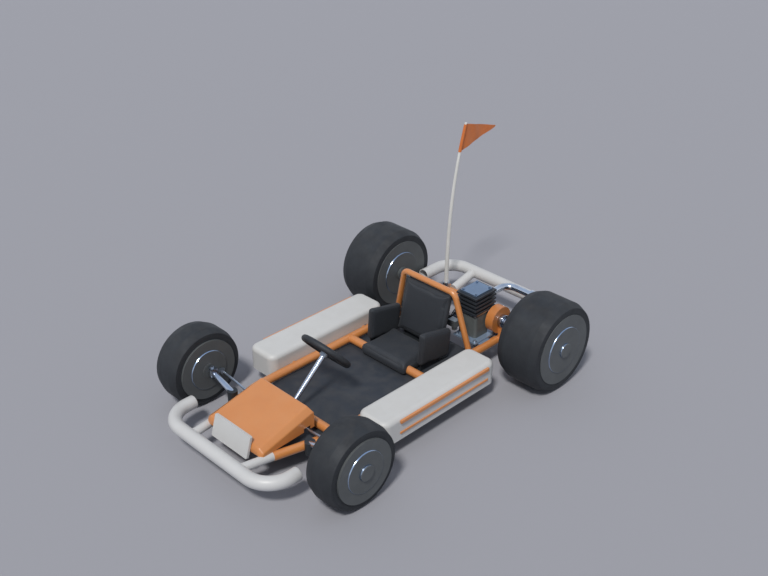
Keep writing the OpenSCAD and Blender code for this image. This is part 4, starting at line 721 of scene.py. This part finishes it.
# Weld beads where one round tube meets another
def weld_bead(name, start, goal, radius, target, target_radius, runs, slot):
    """A bead round a tube where it meets a target tube that runs along X or Y."""
    start = Vector(start)
    heading = (Vector(goal) - start).normalized()
    first, second = (0, 2) if runs == "Y" else (1, 2)
    side = heading.cross(Vector((0, 0, 1))).normalized()
    up = side.cross(heading).normalized()
    way = Vector((heading[first], heading[second]))
    beads, least_cut = 40, 0.004
    points = []
    for step in range(beads):
        along, rise = on_circle(full_turn * step / beads)
        at = start + (side * along + up * rise) * radius
        gap = Vector((at[first] - target[0], at[second] - target[1]))
        a, b, c = way.dot(way), gap.dot(way), gap.dot(gap) - target_radius ** 2
        room = max(b * b - a * c, (least_cut * a) ** 2)
        points.append(at + heading * ((-b - math.sqrt(room)) / a))
    round_cord(name, points, 0.0022, slot, narrow=0.84)


def weld_to_rail(name, way, start, goal, radius):
    rail = (way * rail_side, tube_height)
    weld_bead(name, start, goal, radius, rail, tube_radius, "Y", "frame_orange")


def weld_to_bar(name, bar, start, goal, radius):
    weld_bead(name, start, goal, radius, (bar.y, bar.z), bumper_radius, "X", "bumper_white")


def run_welds():
    bar_end, bar_radius = 0.35, 0.011
    bars = [
        # name, y, x where it starts and where it heads, radius
        ("front_crossmember", front_axle.y + 0.123, 0, bar_end, tube_radius),
        ("seat_crossmember", seat_y, 0, bar_end, tube_radius),
        ("rear_crossmember", rear_axle.y + 0.155, 0, bar_end, tube_radius),
        ("front_pod_bar", front_axle.y + 0.32, bar_end, 0, bar_radius),
        ("rear_pod_bar", rear_axle.y - 0.345, bar_end, 0, bar_radius),
    ]
    for label, y, start, goal, radius in bars:
        for side, way in both_sides:
            weld_to_rail(f"{label}_{side}_weld", way, (way * start, y, tube_height),
                         (way * goal, y, tube_height), radius)
    for side, way in both_sides:
        hoop_top = (way * 0.138, rear_axle.y - 0.1986, tube_height + 0.26)
        hoop_foot = (way * 0.207, rear_axle.y - 0.1746, tube_height)
        weld_to_rail(f"hoop_foot_{side}_weld", way, hoop_top, hoop_foot, 0.0125)
        weld_to_bar(f"rear_strut_{side}_weld", rear_bar, (way * 0.173, rear_axle.y + 0.155, 0.117),
                    (way * 0.173, rear_bar.y, rear_bar.z), 0.02)
        weld_to_bar(f"front_strut_{side}_weld", front_bar,
                    (way * 0.16, front_axle.y - 0.114, tube_height),
                    (way * 0.137, front_bar.y, front_bar.z), 0.017)


# Bolts
def bolt_row(name, seats, way, across_flats=0.01, height=0.005, body="root"):
    """Bolts, each a washer, a hexagon and its crown in one stack."""
    shape = bmesh.new()
    stack = [  # corners, lower and upper radius as shares of the width across flats, thickness
        (24, 0.85, 0.82, 0.0014), (6, 0.58, 0.58, height), (20, 0.5, 0.3, 0.0012)]
    for seat in seats:
        place, base = facing(seat, way), 0
        for corners, lower, upper, thick in stack:
            bmesh.ops.create_cone(shape, cap_ends=True, segments=corners,
                                  radius1=across_flats * lower, radius2=across_flats * upper,
                                  depth=thick,
                                  matrix=place @ Matrix.Translation((0, 0, base + thick / 2)))
            base += thick
    set_piece(name, shape, "bright_steel", body)


def fit_engine():
    """The bright joint face under the cylinder and the bolts of its foot."""
    rounded_slab("cylinder_joint_face", Vector((0.0788, 0.3434, 0.2306)),
                 Vector((0.1832, 0.4747, 0.2345)), 0.0096, "bright_steel")
    low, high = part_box("engine_mount")
    inset, inner_x = 0.012, 0.193
    seats = [(x, y, high.z) for x in (low.x + inset, inner_x)
             for y in (low.y + inset, high.y - inset)]
    bolt_row("engine_mount_bolts", seats, (0, 0, 1))


def bolt_wheel_boss():
    """Three bolts between the spokes and the nut on the column's end."""
    face, bolt_circle = column_length + 0.0025, 0.019
    towards_driver = column_frame.to_3x3() @ Vector((0, 0, 1))
    seats = [column_frame @ Matrix.Rotation(math.radians(turn), 4, "Z")
             @ Vector((bolt_circle, 0, face)) for turn in (30, 150, 270)]
    bolt_row("wheel_boss_bolts", seats, towards_driver, 0.007, 0.004, "steering")
    bolt_row("column_nut", [column_frame @ Vector((0, 0, face))], towards_driver, 0.014, 0.006,
             "steering")


# Side pods
def shell_pods():
    """The pods' shells, a little fuller behind and outwards, and their rub strips."""
    fuller_behind, fuller_outwards = 0.014, 0.006
    strip_root, strip_front, strip_rear = 0.383, -0.2999, 0.1901
    # name, lowest and highest z, outer x
    strips = (("upper", 0.147, 0.16, 0.394), ("lower", 0.1005, 0.1085, 0.39))
    for side, way in both_sides:
        node = side + "_side_pod"
        shape = merged(node)
        for vert in shape.verts:
            if vert.co.y > 0.1:
                vert.co.y += fuller_behind
            if way * vert.co.x > 0.31:
                vert.co.x += way * fuller_outwards
        set_piece(side + "_pod_shell", shape, "pod_white", stands_for=[node], even=True)
        for label, low, high, out in strips:
            near, far = sorted((way * strip_root, way * out))
            strip = rounded_slab(f"{side}_{label}_rub_strip", Vector((near, strip_front, low)),
                                 Vector((far, strip_rear, high)), 0.0035, "panel_orange",
                                 soft=0.0016)
            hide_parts("side_pod_strips")


# Drive chain
def link_chain():
    """Rollers between pairs of plates, set along the loop round both sprockets."""
    back = Vector((rear_axle.y, rear_axle.z))
    fore = Vector((rear_axle.y - 0.085, 0.17))
    large, small, chain_x = 0.05766, 0.02683, 0.05
    reach = fore - back
    heading = math.atan2(reach.y, reach.x)
    lean = math.acos((large - small) / reach.length)
    straight = math.sqrt(reach.length ** 2 - (large - small) ** 2)
    near_arc, far_arc = large * (full_turn - 2 * lean), small * 2 * lean
    runs = [
        # centre, radius, where on the circle it starts, length, whether it bends
        (fore, small, heading - lean, far_arc, True),
        (fore, small, heading + lean, straight, False),
        (back, large, heading + lean, near_arc, True),
        (back, large, heading - lean, straight, False),
    ]
    whole, usual_pitch = near_arc + far_arc + 2 * straight, 0.013
    count = 2 * round(whole / usual_pitch / 2)
    pitch = whole / count

    def on_loop(s):
        """The point at a distance along the loop."""
        for centre, radius, turn, length, bends in runs:
            if s < length:
                break
            s -= length
        if bends:
            return centre + Vector(on_circle(turn + s / radius)) * radius
        out = Vector(on_circle(turn))
        return centre + out * radius + Vector((-out.y, out.x)) * s

    shape = bmesh.new()
    plate = (0.0008, pitch + 0.0062, 0.0066)
    for number in range(count):
        first, second = on_loop(number * pitch), on_loop((number + 1) % count * pitch)
        middle, way = (first + second) / 2, second - first
        turn = Matrix.Rotation(math.atan2(way.y, way.x), 4, "X")
        offset = 0.0043 if number % 2 else 0.0035
        for end in (1, -1):
            seat = Matrix.Translation((chain_x + end * offset, middle.x, middle.y)) @ turn
            ends = [e for e in edges_at(block(shape, seat, plate))
                    if abs((e.verts[0].co - e.verts[1].co).x) > 0.0005]
            round_off(shape, ends, 0.003, 2, clamp=False)
        pin = (Matrix.Translation((chain_x, first.x, first.y))
               @ Matrix.Rotation(math.pi / 2, 4, "Y"))
        bmesh.ops.create_cone(shape, cap_ends=True, segments=10, radius1=0.0019,
                              radius2=0.0019, depth=0.0098, matrix=pin)
    set_piece("roller_chain", shape, "chain_steel", stands_for=["drive_chain"])


# Nose panel
def form_nose():
    """The wedge over the pedals: its corners hulled, edges rolled, open below and behind."""
    rear, front, low = -0.504864, -0.760864, above_rails
    corners = [
        (0.150, rear, low), (0.150, rear, 0.183), (0.128, rear - 0.013, 0.205),
        (0.160, front + 0.011, low), (0.160, front + 0.011, 0.1295), (0.149, front, low),
        (0.138, front, 0.1295), (0.138, front + 0.0073, 0.146),
    ]
    shape = bmesh.new()
    for x, y, z in corners:
        shape.verts.new((x, y, z))
        shape.verts.new((-x, y, z))
    bmesh.ops.convex_hull(shape, input=shape.verts)
    bmesh.ops.dissolve_limit(shape, angle_limit=math.radians(1), verts=shape.verts,
                             edges=shape.edges)
    bmesh.ops.recalc_face_normals(shape, faces=shape.faces)
    edges = [e for e in shape.edges if e.calc_face_angle() > math.radians(12)
             and not all(abs(v.co.z - low) < 0.0002 for v in e.verts)
             and not all(abs(v.co.y - rear) < 0.0002 for v in e.verts)]
    round_off(shape, edges, 0.0045, 4)
    # The sides are cut away in an arch round the tie rods
    tie_rod_y, arch_half, arch_top = -0.5402, 0.017, 0.133
    for at, way in (((0, tie_rod_y - arch_half, 0), (0, 1, 0)),
                    ((0, tie_rod_y + arch_half, 0), (0, 1, 0)), ((0, 0, arch_top), (0, 0, 1))):
        bmesh.ops.bisect_plane(shape, geom=shape.verts[:] + shape.edges[:] + shape.faces[:],
                               plane_co=at, plane_no=way)

    def in_arch(face):
        middle = face.calc_center_median()
        return (abs(middle.y - tie_rod_y) < arch_half and middle.z < arch_top
                and abs(face.normal.x) > 0.5)

    open_faces = [f for f in shape.faces if f.normal.z < -0.9 or f.normal.y > 0.98 or in_arch(f)]
    bmesh.ops.delete(shape, geom=open_faces, context="FACES")
    bmesh.ops.solidify(shape, geom=shape.faces, thickness=0.0035)
    set_piece("nose_panel", shape, "panel_orange", stands_for=["nose_cone"], even=True)


# Steering wheel grip
def wrap_grip():
    """A leather-wrapped ring with a seam of stitches round its inner side."""
    ring, thick, seam_height, stitch_count = 0.095, 0.013, 0.0007, 96
    shape = bmesh.new()
    seat = Matrix.Translation((ring, 0, 0)) @ Matrix.Rotation(math.pi / 2, 4, "X")
    bmesh.ops.create_circle(shape, cap_ends=False, segments=28, radius=thick, matrix=seat)
    revolve(shape, (0, 0, 1), 112)
    for vert in shape.verts:
        outward = Vector((vert.co.x, vert.co.y, 0))
        out = outward.length - ring
        if out < 0:
            seam = math.exp(-((out + thick) / 0.0016) ** 2) + math.exp(-(vert.co.z / 0.0022) ** 2)
            vert.co += outward.normalized() * seam_height * min(seam, 1)
    place = column_frame @ Matrix.Translation((0, 0, column_length))
    bmesh.ops.transform(shape, matrix=place, verts=shape.verts)
    set_piece("grip_wrap", shape, "grip_black", "steering", stands_for=["steering_wheel_grip"])
    stitches = bmesh.new()
    slant = Matrix.Rotation(math.radians(35), 4, "X")
    inside = Matrix.Translation((ring - thick + 0.0004, 0, 0))
    for number in range(stitch_count):
        turn = Matrix.Rotation(full_turn * number / stitch_count, 4, "Z")
        block(stitches, place @ turn @ inside @ slant, (0.0009, 0.0009, 0.0052))
    set_piece("grip_stitching", stitches, "grip_black", "steering", waxed_thread)


# Seat pads
back_foot = Vector((0, seat_y + 0.1675, 0.118))
back_turn = Matrix.Rotation(math.radians(-13.4), 4, "X")
back_out = back_turn @ Vector((0, 1, 0))
pad_plans = {
    # node: name, how far it may swell, direction of its seams, places of its seams
    "seat_base_cushion": ("seat_base_pad", 0.006, (0, 0, 1), [(0, 0.09, 0.1225)]),
    "seat_back_cushion": ("seat_back_pad", 0.006, back_out, [back_foot + back_out * 0.007]),
    "left_seat_bolster": ("left_bolster_pad", 0.003, (1, 0, 0),
                          [(0.1305, 0, 0), (0.1515, 0, 0)]),
    "right_seat_bolster": ("right_bolster_pad", 0.003, (-1, 0, 0),
                           [(-0.1305, 0, 0), (-0.1515, 0, 0)]),
}
back_half, back_depth, back_height = 0.1225, 0.0285, 0.235
swell_room, bolster_inset = 0.005, 0.0012
bolster_side = {
    # rearward, upward: the side outline's corner
    (0, 0): (seat_y + 0.0305, 0.117), (1, 0): (seat_y + 0.2015, 0.093),
    (1, 1): (seat_y + 0.2157, 0.2154), (0, 1): (seat_y + 0.044, 0.256),
}


def pad_corner(node, across, rearward, upward):
    """A corner of a pad's cut form, each way given as 0 or 1; its faces swell out from it."""
    low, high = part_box(node)
    if node == "seat_back_cushion":
        return back_foot + back_turn @ Vector((
            back_half * (2 * across - 1), swell_room + back_depth * rearward,
            back_height * upward))
    if node == "seat_base_cushion":
        return Vector((low.x + (high.x - low.x) * across, low.y + (high.y - low.y) * rearward,
                       low.z + (high.z - swell_room - low.z) * upward))
    y, z = bolster_side[rearward, upward]
    thick = high.x - low.x - 2 * bolster_inset
    return Vector((low.x + bolster_inset + thick * across, y, z))


def rough_pad(node):
    """The pad's cut form with rolled edges, remeshed fine enough for cloth."""
    shape = bmesh.new()
    bmesh.ops.create_cube(shape, size=1)
    for vert in shape.verts:
        vert.co = pad_corner(node, *(int(way > 0) for way in vert.co))
    round_off(shape, shape.edges[:], 0.009, 4)
    bmesh.ops.recalc_face_normals(shape, faces=shape.faces)
    pad = stand(pad_plans[node][0], shape)
    remesh = pad.modifiers.new("voxels", "REMESH")
    remesh.mode = "VOXEL"
    remesh.voxel_size = 0.005
    bake(pad)
    return pad


def held_side(node, at):
    """True where a pad rests on its tray, its plate or the neighbouring pad."""
    if node == "seat_back_cushion":
        return (at - back_foot).dot(back_out) > 0.026
    return at.z < (0.103 if node == "seat_base_cushion" else 0.106)


def swell_pads(pads):
    """Cloth under pressure, held below; no point moves past its cap or its cushion's box."""
    for node, pad in pads.items():
        held = pad.vertex_groups.new(name="held")
        held.add([v.index for v in pad.data.vertices if held_side(node, v.co)], 1, "REPLACE")
        cloth = pad.modifiers.new("stuffing", "CLOTH").settings
        cloth.quality = 5
        cloth.use_pressure = True
        cloth.uniform_pressure_force = 4
        cloth.vertex_group_mass = "held"
        cloth.effector_weights.gravity = 0
    for number in range(1, 21):
        scene.frame_set(number)
    graph = bpy.context.evaluated_depsgraph_get()
    for node, pad in pads.items():
        cap = pad_plans[node][1]
        swollen = [v.co.copy() for v in pad.evaluated_get(graph).data.vertices]
        pad.modifiers.clear()
        low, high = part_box(node)
        for vert, goal in zip(pad.data.vertices, swollen):
            move = goal - vert.co
            if move.length > cap:
                move *= cap / move.length
            vert.co = [min(max(at, least), most)
                       for at, least, most in zip(vert.co + move, low, high)]
    scene.frame_set(1)


def stuff_pads():
    pads = {node: rough_pad(node) for node in pad_plans}
    swell_pads(pads)
    for pad in pads.values():
        settle = pad.modifiers.new("settled_cover", "SMOOTH")
        settle.factor = 0.5
        settle.iterations = 7
        finer = pad.modifiers.new("finer", "SUBSURF")
        finer.levels = finer.render_levels = 1
        bake(pad)
    for node, pad in pads.items():
        finish_pad(pad, node)


def finish_pad(pad, node):
    """Draws the cover in along its seams, lays the piping and joins the pad to the kart."""
    name, _, direction, seams = pad_plans[node]
    planes = [(Vector(seam), Vector(direction)) for seam in seams]
    seam_reach, seam_depth = 0.004, 0.0012
    shape = bmesh.new()
    shape.from_mesh(pad.data)
    shape.normal_update()
    for at, out in planes:
        for vert in shape.verts:
            away = abs((vert.co - at).dot(out))
            if away < seam_reach:
                vert.co -= vert.normal * seam_depth * (1 - (away / seam_reach) ** 2)
    for face in shape.faces:
        face.smooth = True
    shape.to_mesh(pad.data)
    shape.free()
    pad.data.materials.clear()
    pad.data.materials.append(finishes["seat_black"])
    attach(pad, "root")
    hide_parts(node)
    for number, (at, out) in enumerate(planes):
        welt(pad, f"{name}_welt_{number + 1}", at, out)


def welt(pad, name, at, out):
    """Piping laid round a pad in the plane of its seam."""
    cut = bmesh.new()
    cut.from_mesh(pad.data)
    found = bmesh.ops.bisect_plane(cut, geom=cut.verts[:] + cut.edges[:] + cut.faces[:],
                                   plane_co=at, plane_no=out)["geom_cut"]
    edges = edges_in(found)
    loops = []
    while edges:
        path = list(edges.pop().verts)
        while step := next((e for e in path[-1].link_edges if e in edges), None):
            edges.remove(step)
            path.append(step.other_vert(path[-1]))
        loops.append(path)
    path = [v.co.copy() for v in max(loops, key=len)]
    cut.free()
    if (path[0] - path[-1]).length < 0.0001:
        path.pop()
    count = len(path)
    for _ in range(6):
        path = [(path[i - 1] + path[i] * 2 + path[(i + 1) % count]) / 4 for i in range(count)]
    round_cord(name, path, 0.0016, "seat_black")


# Pennant
pole_top, pole_bow, pole_sweep = 0.874, 0.122, 0.092
hoist, fly, top_gap, weave_square = 0.115, 0.204, 0.005, 0.05


def pole_shift(z):
    """How far the bent pole has swept back at a height."""
    return pole_sweep * max(0, (z - pole_bow) / (pole_top - pole_bow)) ** 2.5


def pole_radius(z):
    return (0.02 - 0.009 * (z - above_rails) / (pole_top - above_rails)) / 2


def lay_weave(shape, on_cloth):
    """The cloth's own map, from each vertex's place on the flat cloth."""
    uv = shape.loops.layers.uv.new("weave")
    for face in shape.faces:
        for loop in face.loops:
            along, up = on_cloth(loop.vert.co)
            loop[uv].uv = (along / weave_square, up / weave_square)


def hang_pennant():
    """A cut triangle of cloth with a gentle wave, sewn to a sleeve round the pole."""
    middle = pole_top - top_gap - hoist / 2
    shape = bmesh.new()
    bmesh.ops.create_grid(shape, x_segments=56, y_segments=28, size=0.5)
    lay_weave(shape, lambda at: ((at.x + 0.5) * fly, (at.y + 0.5) * hoist))
    seam_gap, tip_share, wave_height, ripple_height = 0.0003, 0.05, 0.0042, 0.0012
    end = pole_shift(middle) + pole_radius(middle) + seam_gap + fly
    for vert in shape.verts:
        s, v = vert.co.x + 0.5, vert.co.y
        at = middle + v * hoist
        z = middle + v * hoist * (1 - (1 - tip_share) * s)
        start = pole_shift(at) + pole_radius(at) + seam_gap
        wave = wave_height * math.sin(full_turn * 1.4 * s) * s
        ripple = (ripple_height * math.sin(full_turn * (3.1 * s + 0.7 * v))
                  * math.sin(math.pi * min(1, 1.6 * s)))
        vert.co = Vector((wave + ripple, (1 - s) * start + s * end, z)) + pole_foot
    cloth = set_piece("pennant_cloth", shape, "pennant_orange", sharp=80,
                      stands_for=["flag_pennant"])
    thick = cloth.modifiers.new("cloth_thickness", "SOLIDIFY")
    thick.thickness = 0.0012
    thick.offset = 0
    band = sew_sleeve(middle)


def sew_sleeve(middle):
    """The pennant's sleeve, a skin that follows the bent pole."""
    courses, slack = 12, 0.0011
    sleeve = bmesh.new()
    rings = []
    for step in range(courses + 1):
        z = middle - hoist / 2 + hoist * step / courses
        seat = Matrix.Translation(pole_foot + Vector((0, pole_shift(z), z)))
        made = bmesh.ops.create_circle(sleeve, cap_ends=False, segments=24,
                                       radius=pole_radius(z) + slack, matrix=seat)
        rings.append(made["verts"])
    for low, high in zip(rings, rings[1:]):
        bmesh.ops.bridge_loops(sleeve, edges=[
            e for e in edges_at(low + high) if len(e.link_faces) < 2
            and (all(v in low for v in e.verts) or all(v in high for v in e.verts))])
    lay_weave(sleeve, lambda at: (math.atan2(at.x - pole_foot.x, at.y - pole_foot.y) * 0.01,
                                  at.z))
    return set_piece("pennant_sleeve", sleeve, "pennant_orange", sharp=80)


# The whole kart
eased_edges = {
    "number_plate": 0.0012, "cooling_fins": 0.001, "cylinder_head": 0.0008,
    "carburettor": 0.0012, "fuel_tank": 0.002, "brake_drum": 0.0008, "brake_pedal": 0.0008,
    "throttle_pedal": 0.0008, "seat_frame": 0.0005, "air_filter": 0.002,
}
aim_camera()
light_the_studio()
lay_floor()
fit_wheels()
bend_bumpers()
form_nose()
wrap_grip()
link_chain()
run_welds()
turn_fittings()
fit_engine()
bolt_wheel_boss()
shell_pods()
for node, width in eased_edges.items():
    ease_edges(node, width)
ease_edges("engine_mount", 0.001, corners=(0.009, 0.117, 0.126), material=foot_plate)
ease_edges("engine_block", 0.0012, corners=(0.009, 0.229, 0.2355))
stuff_pads()
hang_pennant()
